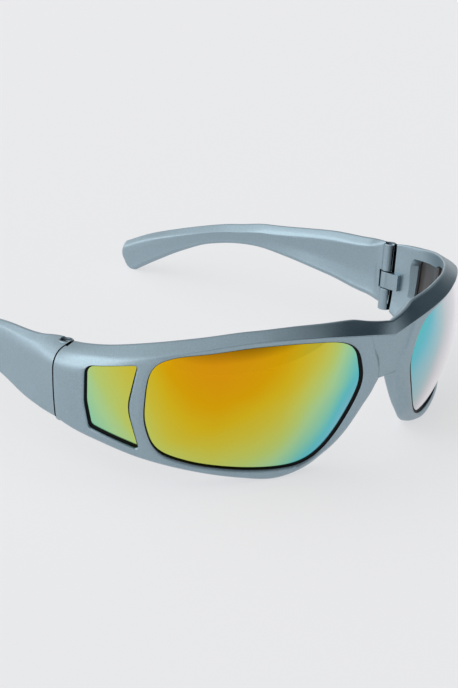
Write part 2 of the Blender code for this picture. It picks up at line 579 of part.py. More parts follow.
def make_screws(parts, helpers, steel):
    """One slotted screw on each hinge axis, turned from its profile."""
    head_top = KNUCKLE_TOP - SCREW_HEAD_INSET
    head_bottom = head_top - SCREW_HEAD_HEIGHT
    tip = KNUCKLE_BOTTOM + SCREW_END_COVER + FIT_GAP
    profile = ((0, head_top), (SCREW_HEAD_RADIUS, head_top), (SCREW_HEAD_RADIUS, head_bottom),
               (SCREW_RADIUS, head_bottom), (SCREW_RADIUS, tip), (0, tip))
    for side, word in ((-1, "right"), (1, "left")):
        mesh = bpy.data.meshes.new(f"hinge_screw_{word}")
        mesh.from_pydata([(r, 0, z) for r, z in profile], [(k, k + 1) for k in range(len(profile) - 1)], [])
        screw = new_object(f"hinge_screw_{word}", mesh, parts, steel)
        screw.location = (side * HINGE_X, HINGE_Y, 0)
        turn = screw.modifiers.new("turned", "SCREW")
        turn.steps = 20
        turn.render_steps = 20
        turn.use_merge_vertices = True
        turn.merge_threshold = MERGE_DISTANCE
        turn.use_smooth_shade = True
        x = side * HINGE_X
        half_slot = SCREW_SLOT_WIDTH / 2
        slot = block(f"screw_slot_{word}",
                     (x - half_slot, HINGE_Y - KNUCKLE_RADIUS, head_top - SCREW_SLOT_DEPTH),
                     (x + half_slot, HINGE_Y + KNUCKLE_RADIUS, head_top + CUT_OVERRUN), helpers)
        combine(screw, slot, "DIFFERENCE")


def main():
    """Builds every piece in its own collection, with the helper solids in another."""
    for thing in list(bpy.data.objects):
        bpy.data.objects.remove(thing, do_unlink=True)
    parts = bpy.data.collections.new("wrap_sunglasses")
    helpers = bpy.data.collections.new("cutters")
    bpy.context.scene.collection.children.link(parts)
    bpy.context.scene.collection.children.link(helpers)
    paint = material("silver_blue_paint", (0.27, 0.34, 0.38), 0.38, 0.6)
    temple_paint = material("temple_paint", (0.27, 0.34, 0.38), 0.38, 0.6)
    mirror_coat = material("mirror_lens", (0.75, 0.52, 0.08), 0.08, 0.9)
    steel = material("screw_steel", (0.55, 0.56, 0.57), 0.3, 1.0)
    make_front(parts, helpers, paint)
    make_lenses(parts, mirror_coat)
    make_temples(parts, helpers, temple_paint)
    make_screws(parts, helpers, steel)
    bpy.context.view_layer.update()


main()
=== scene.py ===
"""Wrap-around sports sunglasses: the fine surfaces, finishes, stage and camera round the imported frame.

The front is drawn on a curved wall, as in the part's source. A place on it has an arc length from the bridge, a
height, and a depth behind the wall. All lengths are in metres, -Y is the way the wearer looks, and +Z is up.
"""
import json
import math

import bmesh
import bpy
import numpy as np
from bpy.props import FloatProperty, FloatVectorProperty, IntProperty, PointerProperty
from mathutils import Matrix, Vector


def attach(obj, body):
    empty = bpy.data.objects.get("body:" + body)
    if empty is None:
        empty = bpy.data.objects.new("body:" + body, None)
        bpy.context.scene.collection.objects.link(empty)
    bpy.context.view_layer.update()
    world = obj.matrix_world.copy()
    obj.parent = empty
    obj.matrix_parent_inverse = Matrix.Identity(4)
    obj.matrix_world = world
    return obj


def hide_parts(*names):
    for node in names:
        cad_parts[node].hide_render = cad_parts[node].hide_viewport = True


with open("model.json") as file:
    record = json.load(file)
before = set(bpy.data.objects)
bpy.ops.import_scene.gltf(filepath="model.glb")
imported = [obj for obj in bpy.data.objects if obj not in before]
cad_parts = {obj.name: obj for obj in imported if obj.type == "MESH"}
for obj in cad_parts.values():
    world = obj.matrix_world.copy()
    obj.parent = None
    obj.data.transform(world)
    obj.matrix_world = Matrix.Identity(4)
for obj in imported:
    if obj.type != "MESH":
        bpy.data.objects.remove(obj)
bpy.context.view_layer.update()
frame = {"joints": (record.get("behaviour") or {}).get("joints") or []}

bl_info = {
    "name": "Wrap-around sunglasses",
    "version": (1, 0, 0),
    "blender": (4, 5, 0),
    "location": "3D View > Sidebar > Sunglasses",
    "description": "Builds the surfaces, finishes, stage and camera of a pair of wrap-around sunglasses",
    "category": "Object",
}

# Each side's sign along X, and the wearer's side
SIDES = ((-1, "right"), (1, "left"))

# Overall sizes of the front and the temples
FRONT_WIDTH = 0.1445
FRONT_HEIGHT = 0.0406
WRAP_DEPTH = 0.0483
TEMPLE_LENGTH = 0.1084

# The wall that the front follows
PLAN_ARC_SHARES = (0.0, 0.14, 0.30, 0.455, 0.615, 0.77, 0.91, 1.0)
PLAN_HEADINGS = tuple(math.radians(a) for a in (0, 4.5, 15.5, 27.5, 40.5, 54, 73, 96))
PLAN_STEPS = 4001
WALL_LEAN = -0.10
WALL_CURVE_RADIUS = 0.1015
WALL_MIDDLE_SHARE = 0.515
TOP_SET_BACK = 0.0016
TOP_SET_BACK_SHARES = ((0, 0), (0.2, 0), (0.4, 0.8), (0.5, 1), (0.62, 0.9), (0.8, 0.3), (1, 0))
TOP_SET_BACK_START_SHARE = 0.5

# Edges and depths of the front, as shares of its arc, height, thickness and brow. At the bridge the ridge is lower
# and the brow leans further back than in the part's source.
RIDGE_SHARES = ((0, 0.921), (0.08, 0.949), (0.14, 0.976), (0.22, 0.99), (0.34, 1), (0.475, 0.989),
                (0.61, 0.954), (0.75, 0.911), (0.87, 0.867), (1, 0.831))
CREASE_SHARES = ((0, 0.827), (0.14, 0.892), (0.277, 0.936), (0.415, 0.946), (0.553, 0.919), (0.71, 0.861),
                 (0.85, 0.802), (1, 0.75))
LOWER_EDGE_SHARES = ((0, 0.55), (0.035, 0.548), (0.05, 0.528), (0.067, 0.445), (0.089, 0.354), (0.113, 0.265),
                     (0.141, 0.178), (0.174, 0.108), (0.218, 0.056), (0.275, 0.022), (0.36, 0), (0.47, 0.04),
                     (0.61, 0.108), (0.75, 0.19), (0.87, 0.279), (1, 0.351))
FRONT_THICKNESS = 0.0056
TOE_DEPTH_SHARES = ((0, 0), (0.05, 0.03), (0.09, 0.18), (0.12, 0.27), (0.19, 0.27), (0.25, 0.12),
                    (0.33, 0), (1, 0))
FOOT_DEPTH_SHARES = ((0, 1), (0.05, 1), (0.085, 0.9), (0.115, 0.77), (0.15, 0.6), (0.19, 0.62),
                     (0.27, 1), (1, 1))
LOWER_EDGE_RISE = 0.0034
BROW_DEPTH = 0.0055
BROW_DEPTH_SHARES = ((0, 0.15), (0.05, 0.25), (0.09, 0.4), (0.14, 0.57), (0.22, 0.59), (0.4, 0.49),
                     (0.5, 0.54), (0.6, 0.63), (0.7, 0.7), (0.85, 0.85), (1, 1.03))
BROW_OVERHANG = 0.0004
BROW_OVERHANG_SHARES = ((0, 1), (0.4, 1), (0.6, 0), (1, 0))
BROW_STEP = 0.0003
BROW_MIDDLE_RISE_SHARES = ((0, 0.56), (0.7, 0.56), (1, 0.7))
FACE_STEP_SHARES = (0.52, 0.76)
BACK_DEPTH_SHARES = ((0, 1), (0.25, 1), (0.3, 0.86), (0.36, 0.64), (0.42, 0.57), (0.5, 0.59), (0.6, 0.65),
                     (0.7, 0.72), (0.8, 0.82), (0.9, 0.93), (1, 1))
BACK_FALL_SHARE = 1.0
FOOT_DROP = 0.0024
FOOT_DROP_SHARES = ((0, 0), (0.74, 0), (0.84, 1), (0.95, 1), (1, 0.75))
CREASE_DEPTH_SHARES = ((0, 0), (0.25, 0), (0.4, 0.03), (0.5, 0.06), (0.62, 0.05), (0.8, 0), (1, 0))
EDGE_ROUND = 0.0008
EDGE_ROUND_LIMIT_SHARE = 0.4
RIDGE_FLAT = 0.0008
RIDGE_FLAT_LIMIT_SHARE = 0.2
FOOT_FLAT_DEPTH = 0.00015
END_RING_SHARES = (0.0004, 0.0012, 0.0024)
END_ROUND = 0.00026
END_ROUND_SHARE = 0.02

# The black lips on the lenses' edges, which paint the reflection of the shaded seat walls, by arc and by height,
# and the bridge panel's edge, as height and arc
PAINTED_LIP_ARC_SHARES = ((0.1, 1), (0.16, 1), (0.22, 0.75), (0.3, 0.4), (0.37, 0.12), (0.45, 0.02), (0.73, 0.02),
                  (0.8, 0.8), (0.89, 1), (0.91, 0.5))
PAINTED_LIP_HEIGHT_SHARES = ((0, 1), (0.45, 1), (0.72, 0.8), (0.85, 0.15), (1, 0.1))
FACE_LIMIT_SHARE = 0.3
PANEL_LINE_SHARES = ((0.5, 0.046), (0.57, 0.049), (0.64, 0.053), (0.78, 0.082), (0.95, 0.108), (1, 0.112))

# Lens openings and lenses
MAIN_OPENING_SHARES = ((0.110, 0.548), (0.121, 0.714), (0.151, 0.822), (0.2105, 0.885), (0.316, 0.913),
                       (0.4545, 0.916), (0.573, 0.89), (0.682, 0.855), (0.731, 0.773), (0.744, 0.585),
                       (0.74, 0.41), (0.7065, 0.2505), (0.6225, 0.166), (0.494, 0.108), (0.356, 0.073),
                       (0.270, 0.084), (0.209, 0.162), (0.157, 0.3185))
SIDE_OPENING_SHARES = ((0.764, 0.808), (0.902, 0.766), (0.903, 0.527), (0.891, 0.365), (0.754, 0.255),
                       (0.7845, 0.527))
SIDE_OPENING_RADII = (0.0007, 0.0025, 0.0085, 0.0017, 0.0006, 0.0130)
SIDE_BACK_LIP_SHARES = (0, -0.015, -0.018, -0.011, 0, 0)
SIDE_BACK_FLARE_SHARES = (0, 0.006, 0.01, 0.028, 0, 0)
SIDE_LIP_THICKNESS = 0.0008
LENS_THICKNESS = 0.0018
LENS_EDGE_INSET = 0.0013
LENS_BULGE = 0.0014
SIDE_LENS_BULGE = 0.0002
GROOVE_DEPTH = 0.0010
FIT_GAP = 0.0003
LENS_EDGE_ROUND = 0.0003
SIDE_LENS_RINGS = 24
MAIN_SPAN_POINTS = 12
SIDE_CORNER_POINTS = 10
SIDE_OUTLINE_STEP = 0.0006
PILLAR_REBATE_SHARES = ((0.68, 0.831), (0.84, 0.782), (0.84, 0.36), (0.68, 0.33))
PILLAR_REBATE_RADIUS = 0.0015
REBATE_CORNER_POINTS = 8
REBATE_OUTLINE_STEP = 0.0008

# The mirror coat: the place of each colour from straight on, 0, to grazing, 1, and how far the coat is shifted
# along that row at shares of the front's arc
COAT_PLACES = (("orange", 0.02), ("amber", 0.12), ("gold", 0.18), ("yellow", 0.25), ("lime", 0.31),
               ("pale_green", 0.365), ("mint", 0.42), ("teal", 0.49), ("cyan", 0.55), ("sky", 0.58),
               ("mist", 0.64), ("silver", 0.71), ("pearl", 0.76), ("rose", 0.87))
COAT_SHIFTS = ((0.10, 0.07), (0.16, 0.07), (0.22, 0.05), (0.30, 0.05), (0.38, 0.01), (0.46, 0.0), (0.56, 0.0),
               (0.62, 0.03), (0.68, 0.08), (0.72, 0.13), (0.77, 0.19), (0.81, 0.21), (0.85, 0.23), (0.90, 0.23))

# Temples. Their brow is steeper than in the part's source.
TEMPLE_ROOT_HEIGHT = 0.0195
TEMPLE_ROOT_THICKNESS = 0.0060
TEMPLE_STATION_SHARES = (0.0, 0.10, 0.22, 0.43, 0.54, 0.645, 0.76, 0.875, 0.965)
TEMPLE_MIDDLE_SHARES = (0.600, 0.595, 0.616, 0.621, 0.584, 0.517, 0.407, 0.277, 0.159)
TEMPLE_HEIGHT_SHARES = (1.01, 0.899, 0.723, 0.407, 0.315, 0.306, 0.376, 0.48, 0.535)
TEMPLE_TILTS = tuple(math.radians(a) for a in (0, 0, 2, 7, 14, 20, 24, 27, 28))
TEMPLE_THICKNESS_SHARES = (1.0, 0.88, 0.78, 0.70, 0.67, 0.65, 0.61, 0.58, 0.56)
TEMPLE_INSET_SHARES = (0.0, 0.019, 0.046, 0.094, 0.111, 0.121, 0.128, 0.130, 0.128)
TEMPLE_TIP_ROUND = 0.0036
TEMPLE_TIP_DROP = 0.0020
TEMPLE_KNEE_SHARE = 0.2
TEMPLE_CREASE_SHARE = 0.84
TEMPLE_BROW_SHARES = (0.85, 0.46, 0.32, 0.28, 0.27, 0.27, 0.26, 0.26, 0.26)
TEMPLE_BROW_MIDDLE_SHARE = 0.66
TEMPLE_RINGS = 190
TEMPLE_TIP_RINGS = 16
TEMPLE_RING_POWER = 1.15
TIP_ROUND_POWER = 2.4
TIP_LAST_RING = 0.985
TIP_SLIMMING_SHARE = 0.8
ROOT_BLEND_SHARE = 0.09
HOLLOW_DEPTH_SHARES = (0.72, 0.92)
HOLLOW_START_SHARES = (0.045, 0.06)
HOLLOW_END_SHARES = (0.25, 0.55)
HOLLOW_LOW_SHARE = 0.08
HOLLOW_HEIGHT_SHARE = 0.8
HOLLOW_POWER = 0.8
JOINT_GAP = 0.0003
# The width of the line of painted shade along each joint, then the reach, squareness and depth of the end walls
# that are painted as the gap's shade
JOINT_SHADE_LINE = 0.00025
END_WALL_REACH_SHARE = 0.7
END_WALL_SQUARE = 0.8
END_WALL_DEPTH = 3 * JOINT_GAP

# Hinge
HINGE_INSET = 0.0052
HINGE_BEHIND_JOINT = 0.0016
KNUCKLE_RADIUS = 0.0020
KNUCKLE_FRONT_GAP = 0.0006
KNUCKLE_TOP_SHARE = 0.823
TONGUE_TOP_SHARE = 0.607
TONGUE_BOTTOM_SHARE = 0.484
KNUCKLE_BOTTOM_SHARE = 0.311
KNUCKLE_TOP, KNUCKLE_BOTTOM = KNUCKLE_TOP_SHARE * FRONT_HEIGHT, KNUCKLE_BOTTOM_SHARE * FRONT_HEIGHT
TONGUE_TOP, TONGUE_BOTTOM = TONGUE_TOP_SHARE * FRONT_HEIGHT, TONGUE_BOTTOM_SHARE * FRONT_HEIGHT
KNUCKLE_BEVEL = 0.00018
TONGUE_BEVEL = 0.00015
CYLINDER_SEGMENTS = 64
TONGUE_LENGTH = 0.0050
TONGUE_WEB_SHARE = 0.85
SCREW_RADIUS = 0.0007
SCREW_HEAD_RADIUS = 0.0012
SCREW_HEAD_HEIGHT = 0.0007
SCREW_HEAD_INSET = 0.0004
SCREW_SLOT_WIDTH = 0.0004
SCREW_SLOT_DEPTH = 0.00035
SCREW_END_COVER = 0.0014
SCREW_EDGE = 0.00012
SCREW_SEGMENTS = 48
CUT_OVERRUN = 0.003
SHARP_ANGLE = math.radians(38)

# Light and camera. The room's light is slightly green and more blue.
WORLD_HEIGHTS = (0.12, 0.34, 0.7, 1.0)
ROOM_GREEN = 0.016
ROOM_BLUE = 0.028
BACKDROP_COLOUR = (0.80, 0.80, 0.815, 1)
FLOOR_GLOW_COLOUR = (0.985, 0.985, 1, 1)
FLOOR_TONE_SHARE = 0.992
KEY_DIRECTION = (-0.80, 0.30, 0.50)
KEY_ANGLE = math.radians(55)
CAMERA_AZIMUTH, CAMERA_ELEVATION, CAMERA_ROLL = (math.radians(a) for a in (-49.72, 20.27, 3.9))
CAMERA_DISTANCE = 0.4357
CAMERA_TARGET = (-0.013433, 0.0431395, 0.0216885)
CAMERA_FOCAL_PIXELS = 1627.28
IMAGE_HEIGHT = 688
SENSOR_HEIGHT = 36


def through(shares, at):
    """A smooth curve with no overshoot through (place, value) pairs, read at an array of places.

    Each slope is the harmonic mean of its two neighbours' rises, and the spans are cubic Hermite curves. Past the
    last place the curve runs straight on.
    """
    x, y = np.array(shares, float).T
    step = np.diff(x)
    rise = np.diff(y) / step
    same_way = rise[:-1] * rise[1:] > 0
    first = 2 * step[1:] + step[:-1]
    second = step[1:] + 2 * step[:-1]
    safe = np.where(same_way, rise[:-1] * rise[1:], 1)
    weighted = first * rise[1:] + second * rise[:-1] + (1 - same_way)
    mean = np.where(same_way, (first + second) * safe / weighted, 0)
    slope = np.concatenate([[rise[0]], mean, [rise[-1]]])
    at = np.asarray(at, float)
    i = np.clip(np.searchsorted(x, at, side="right") - 1, 0, len(step) - 1)
    t = (at - x[i]) / step[i]
    inner = ((1 + 2 * t) * (1 - t) ** 2 * y[i] + t * (1 - t) ** 2 * step[i] * slope[i]
             + t * t * (3 - 2 * t) * y[i + 1] + t * t * (t - 1) * step[i] * slope[i + 1])
    return np.where(at > x[-1], y[-1] + slope[-1] * (at - x[-1]), inner)


def smooth(low, high, value):
    """0 below `low`, 1 above `high`, and an S-shaped 3t^2 - 2t^3 between them."""
    t = np.clip((value - low) / (high - low), 0, 1)
    return t * t * (3 - 2 * t)


def plan_curve():
    """Arc length, x, y and heading along one side of the wall: the running sum of steps along the heading."""
    share = np.linspace(0, 1, PLAN_STEPS)
    heading = through(tuple(zip(PLAN_ARC_SHARES, PLAN_HEADINGS)), share)
    middle = (heading[1:] + heading[:-1]) / 2
    x = np.concatenate([[0], np.cumsum(np.cos(middle))])
    y = np.concatenate([[0], np.cumsum(np.sin(middle))])
    x *= FRONT_WIDTH / 2 / x.max()
    y *= WRAP_DEPTH / y[-1]
    step = np.hypot(np.diff(x), np.diff(y))
    heading = np.interp(share, (share[1:] + share[:-1]) / 2, np.unwrap(np.arctan2(np.diff(y), np.diff(x))))
    heading[0] = 0
    return np.concatenate([[0], np.cumsum(step)]), x, y, heading


PLAN_ARC, PLAN_X, PLAN_Y, PLAN_HEADING = plan_curve()
SIDE_ARC = PLAN_ARC[-1]


def on_front(arc, z, depth):
    """World points, before centring, of places on the wall.

    A point is the plan curve's point, plus its inward normal times the depth and the wall's lean and curve.
    """
    along = np.abs(arc)
    heading = np.interp(along, PLAN_ARC, PLAN_HEADING)
    over = np.maximum(along - SIDE_ARC, 0)
    rise = z - WALL_MIDDLE_SHARE * FRONT_HEIGHT
    up = np.clip((z / FRONT_HEIGHT - TOP_SET_BACK_START_SHARE) / (1 - TOP_SET_BACK_START_SHARE), 0, 1)
    top = TOP_SET_BACK * through(TOP_SET_BACK_SHARES, np.minimum(along / SIDE_ARC, 1)) * up * up
    back = depth + rise * WALL_LEAN + rise * rise / (2 * WALL_CURVE_RADIUS) + top
    x = np.interp(along, PLAN_ARC, PLAN_X) + over * np.cos(heading) - back * np.sin(heading)
    y = np.interp(along, PLAN_ARC, PLAN_Y) + over * np.sin(heading) + back * np.cos(heading)
    return np.stack([np.where(arc < 0, -x, x), y, z + 0 * x], -1)


def wall_middle(arc):
    """The wall's point at an arc length, half-way up the joint."""
    return on_front(np.array([arc]), np.array([WALL_MIDDLE_SHARE * FRONT_HEIGHT]), np.zeros(1))[0]


def softened(corners, trims, extra):
    """Closed profiles with rounded corners.

    `corners` is an array of profiles by corners by 2. Each corner becomes a quadratic Bezier arc that starts and
    ends `trims` away from it, and `extra` points are set along the edge that follows it.
    """
    trims = np.asarray(trims, float)[..., None]

    def trimmed(shift):
        """Points on the edges towards the neighbours, a trim or the limit's share of the edge away."""
        edge = np.roll(corners, shift, axis=-2) - corners
        length = np.maximum(np.linalg.norm(edge, axis=-1, keepdims=True), 1e-9)
        return corners + edge * np.minimum(trims / length, TRIM_LIMIT_SHARE)

    start, end = trimmed(1), trimmed(-1)
    t = (np.arange(CORNER_STEPS + 1) / CORNER_STEPS)[:, None]
    pieces = []
    for i, count in enumerate(extra):
        a, p, b = (v[..., i, None, :] for v in (start, corners, end))
        pieces.append((1 - t) ** 2 * a + 2 * t * (1 - t) * p + t * t * b)
        if count:
            n = (i + 1) % len(extra)
            u = (np.arange(1, count + 1) / (count + 1))[:, None]
            pieces.append(b + (start[..., n, None, :] - b) * u)
    return np.concatenate(pieces, axis=-2)


def closed_curve(points, per_span):
    """A closed Catmull-Rom curve through the points."""
    p = np.array(points, float)
    t = (np.arange(per_span) / per_span)[None, :, None]
    a, b, c, d = (np.roll(p, k, axis=0)[:, None, :] for k in (1, 0, -1, -2))
    return (0.5 * (2 * b + (c - a) * t + (2 * a - 5 * b + 4 * c - d) * t ** 2
                   + (3 * b - a - 3 * c + d) * t ** 3)).reshape(-1, 2)


def rounded_outline(corners, radii, steps):
    """A closed outline whose corners are arcs of the given radii, tangent to both edges."""
    p = np.array(corners, float)
    t = (np.arange(steps + 1) / steps)[:, None]
    outline = []
    for i, radius in enumerate(radii):
        back = p[i - 1] - p[i]
        ahead = p[(i + 1) % len(p)] - p[i]
        u = back / np.linalg.norm(back)
        v = ahead / np.linalg.norm(ahead)
        half = math.acos(float(np.clip(u @ v, -1, 1))) / 2
        centre = p[i] + (u + v) / np.linalg.norm(u + v) * radius / math.sin(half)
        start = p[i] + u * radius / math.tan(half) - centre
        end = p[i] + v * radius / math.tan(half) - centre
        sweep = math.pi - 2 * half
        outline.append(centre + (np.sin((1 - t) * sweep) * start + np.sin(t * sweep) * end) / math.sin(sweep))
    return np.concatenate(outline)


def stepped(loop, longest):
    """A closed outline with points added so that no step is longer than `longest`."""
    ahead = np.roll(loop, -1, axis=0)
    counts = np.maximum(np.ceil(np.linalg.norm(ahead - loop, axis=1) / longest), 1).astype(int)
    starts = np.repeat(loop, counts, axis=0)
    shares = np.concatenate([np.arange(n) / n for n in counts])
    return starts + (np.repeat(ahead, counts, axis=0) - starts) * shares[:, None]


def grown(loop, distance):
    """A closed outline moved outwards along its normals by a distance."""
    ahead = np.roll(loop, -1, axis=0) - loop
    ahead /= np.linalg.norm(ahead, axis=1)[:, None]
    along = ahead + np.roll(ahead, 1, axis=0)
    along /= np.linalg.norm(along, axis=1)[:, None]
    area = np.sum(loop[:, 0] * np.roll(loop[:, 1], -1) - loop[:, 1] * np.roll(loop[:, 0], -1))
    outward = np.stack([along[:, 1], -along[:, 0]], 1) * math.copysign(1, area)
    return loop + outward * distance


def main_opening():
    """The main lens opening on the wall."""
    return closed_curve(np.array(MAIN_OPENING_SHARES) * (SIDE_ARC, FRONT_HEIGHT), MAIN_SPAN_POINTS)


def side_openings():
    """The side lens opening, the lip behind its lens and the lip's flared back edge, point for point."""
    corners = np.array(SIDE_OPENING_SHARES) * (SIDE_ARC, FRONT_HEIGHT)
    shifts = np.array(((0,) * len(corners), SIDE_BACK_LIP_SHARES, SIDE_BACK_FLARE_SHARES)) * SIDE_ARC
    outlines = [rounded_outline(corners + shift[:, None] * (1, 0), SIDE_OPENING_RADII, SIDE_CORNER_POINTS)
                for shift in shifts]
    joined = stepped(np.concatenate(outlines, axis=1), SIDE_OUTLINE_STEP)
    return joined[:, :2], joined[:, 2:4], joined[:, 4:]


def bar_corners(heights, brow, back, soft):
    """Corner points of profiles of a bar with a sloping brow, as depth and height, from the lower front edge up.

    `heights` are those of the bottom, knee, crease and top. `brow` holds the depths below and above the crease and
    at the ridge, and the share of the brow's rise at its middle. `back` holds the thickness, the back's depth at
    the top, the depths of the toe and the foot, and the foot's drop. The two corners of the crease move apart by
    `soft`, one down the face and one up the brow, which leaves room for a wide rounding.
    """
    bottom, knee, crease, top = heights
    below, above, ridge, rise = brow
    thickness, upper, toe_depth, foot_depth, drop = back
    zero = 0 * bottom
    edge = np.minimum(EDGE_ROUND, EDGE_ROUND_LIMIT_SHARE * np.minimum(foot_depth - toe_depth, knee - bottom))
    step = np.minimum(BROW_STEP, EDGE_ROUND_LIMIT_SHARE * (top - crease))
    flat = np.minimum(RIDGE_FLAT, RIDGE_FLAT_LIMIT_SHARE * thickness)
    back_top = top - np.maximum(edge, BACK_FALL_SHARE * (upper - ridge))
    low, high = (bottom + share * (crease - bottom) for share in FACE_STEP_SHARES)
    middle = ((above + ridge) / 2, crease + rise * (top - crease))
    run = np.hypot(middle[0] - above, middle[1] - crease - step)
    moved = np.minimum(soft / run, 0.5)
    points = (
        (toe_depth + edge, bottom), (toe_depth, bottom + edge), (zero, knee), (below, crease - soft),
        (above + moved * (middle[0] - above), crease + step + moved * (middle[1] - crease - step)), middle,
        (ridge, top), (ridge + flat, top), (upper + flat, back_top), (upper + flat, high),
        (upper + flat / 2, low), (thickness, knee), (foot_depth, bottom + edge - drop),
        (foot_depth - edge, bottom - drop),
    )
    return np.stack([np.stack(np.broadcast_arrays(d, z), -1) for d, z in points], -2)


# Roundings of a profile's 14 corners in metres, which of them are the crease's, and the points along its 14 edges
CORNER_TRIMS = np.array((0.45, 0.6, 1.6, 0.12, 0.25, 1.5, 0.35, 0.35, 0.8, 1.5, 1.5, 1.5, 0.6, 0.45)) / 1000
CREASE_CORNERS = np.array((0, 0, 0, 1, 1, 0, 0, 0, 0, 0, 0, 0, 0, 0))
EDGE_POINTS = (0, 2, 26, 3, 3, 3, 0, 2, 3, 8, 3, 2, 0, 2)
# The longest rounding as a share of an edge, the steps of a rounding, and the crease's extra rounding
TRIM_LIMIT_SHARE = 0.45
CORNER_STEPS = 4
CREASE_SOFT = 0.0014
CREASE_SOFT_SHARES = ((0, 0), (0.6, 0), (0.8, 0.5), (0.9, 1), (1, 1))


def front_profiles(share, foot_drop=FOOT_DROP):
    """Rounded profiles of the front at shares of the side's arc, and the heights of their crease."""
    bottom = through(LOWER_EDGE_SHARES, share) * FRONT_HEIGHT - FOOT_FLAT_DEPTH
    crease = through(CREASE_SHARES, share) * FRONT_HEIGHT
    top = through(RIDGE_SHARES, share) * FRONT_HEIGHT
    crease_depth = through(CREASE_DEPTH_SHARES, share) * FRONT_THICKNESS
    overhang = through(BROW_OVERHANG_SHARES, share) * BROW_OVERHANG
    brow = (crease_depth, crease_depth - overhang, through(BROW_DEPTH_SHARES, share) * BROW_DEPTH,
            through(BROW_MIDDLE_RISE_SHARES, share))
    depths = (through(table, share) * FRONT_THICKNESS
              for table in (BACK_DEPTH_SHARES, TOE_DEPTH_SHARES, FOOT_DEPTH_SHARES))
    back = (FRONT_THICKNESS, *depths, through(FOOT_DROP_SHARES, share) * foot_drop)
    soft = CREASE_SOFT * through(CREASE_SOFT_SHARES, share)
    corners = bar_corners((bottom, bottom + LOWER_EDGE_RISE, crease, top), brow, back, soft)
    trims = CORNER_TRIMS + CREASE_CORNERS * np.asarray(soft)[..., None]
    return softened(corners, trims, EDGE_POINTS), crease


def grid_faces(count, around, looped=False):
    """Quads of a grid of `count` closed rings of `around` points; `looped` joins the last ring to the first."""
    i, k = np.meshgrid(np.arange(count if looped else count - 1), np.arange(around), indexing="ij")
    j, n = (i + 1) % count, (k + 1) % around
    return np.stack([i * around + k, i * around + n, j * around + n, j * around + k], -1).reshape(-1, 4)


def capped_tube(name, rings, side=1):
    """A tube through closed rings, with a fan from the middle of each end ring."""
    count, around = rings.shape[:2]
    k = np.arange(around)
    n = (k + 1) % around
    first, last = count * around, count * around + 1
    start = (count - 1) * around
    caps = [np.stack([n, k, first + 0 * k], 1), np.stack([start + k, start + n, last + 0 * k], 1)]
    points = np.concatenate([rings.reshape(-1, 3), rings[:1].mean(axis=1), rings[-1:].mean(axis=1)])
    return solid(name, points, [grid_faces(count, around)] + caps, side)


def solid(name, points, face_groups, side=1):
    """A closed mesh for one side with its faces turned outwards; the right side mirrors the left one."""
    mesh = bpy.data.meshes.new(name)
    faces = [f for group in face_groups for f in group.tolist()]
    mesh.from_pydata((np.asarray(points) * (side, 1, 1)).tolist(), [], faces)
    bm = bmesh.new()
    bm.from_mesh(mesh)
    bmesh.ops.recalc_face_normals(bm, faces=bm.faces)
    if bm.calc_volume(signed=True) < 0:
        bmesh.ops.reverse_faces(bm, faces=bm.faces)
    bm.to_mesh(mesh)
    bm.free()
    return mesh


def plate(name, rims, bulge, side, rings=(0.3, 0.6, 0.85, 1.0)):
    """A plate that follows the wall, from its first rim to its last one.

    Each rim is an outline and a depth. The two faces are rings of the outline shrunk towards its middle, and they
    bulge forward by `bulge` times one minus the square of the ring's share.
    """
    around = len(rims[0][0])
    shares = np.array(rings)[:, None, None]
    points = []
    for loop, depth in (rims[0], rims[-1]):
        centre = loop.mean(axis=0)
        points.append(on_front(centre[:1], centre[1:], np.array([depth - bulge])))
        ring = centre + (loop - centre) * shares
        deep = depth - bulge * (1 - shares[..., 0] ** 2) + 0 * ring[..., 0]
        points.append(on_front(ring[..., 0], ring[..., 1], deep).reshape(-1, 3))
    for loop, depth in rims[1:-1]:
        points.append(on_front(loop[:, 0], loop[:, 1], np.full(around, depth)))
    half = 1 + len(rings) * around
    k = np.arange(around)
    n = (k + 1) % around
    groups = []
    for base in (0, half):
        groups.append(np.stack([base + 0 * k, base + 1 + k, base + 1 + n], 1))
        groups.append(grid_faces(len(rings), around) + base + 1)
    steps = [half - around] + [2 * half + r * around for r in range(len(rims) - 2)] + [2 * half - around]
    for a, b in zip(steps[:-1], steps[1:]):
        groups.append(np.stack([a + k, b + k, b + n, a + n], 1))
    return solid(name, np.concatenate(points) - CENTRE, groups, side)


def temple_curves(share):
    """Height, thickness, tilt, middle height, brow depth share and inset at shares of a temple's length."""
    def read(values):
        """One table's values at the shares."""
        return through(tuple(zip(TEMPLE_STATION_SHARES, values)), share)
    return (read(TEMPLE_HEIGHT_SHARES) * TEMPLE_ROOT_HEIGHT, read(TEMPLE_THICKNESS_SHARES) * TEMPLE_ROOT_THICKNESS,
            read(TEMPLE_TILTS), read(TEMPLE_MIDDLE_SHARES) * FRONT_HEIGHT - TEMPLE_TIP_DROP * share ** 3,
            read(TEMPLE_BROW_SHARES), read(TEMPLE_INSET_SHARES) * FRONT_WIDTH / 2)


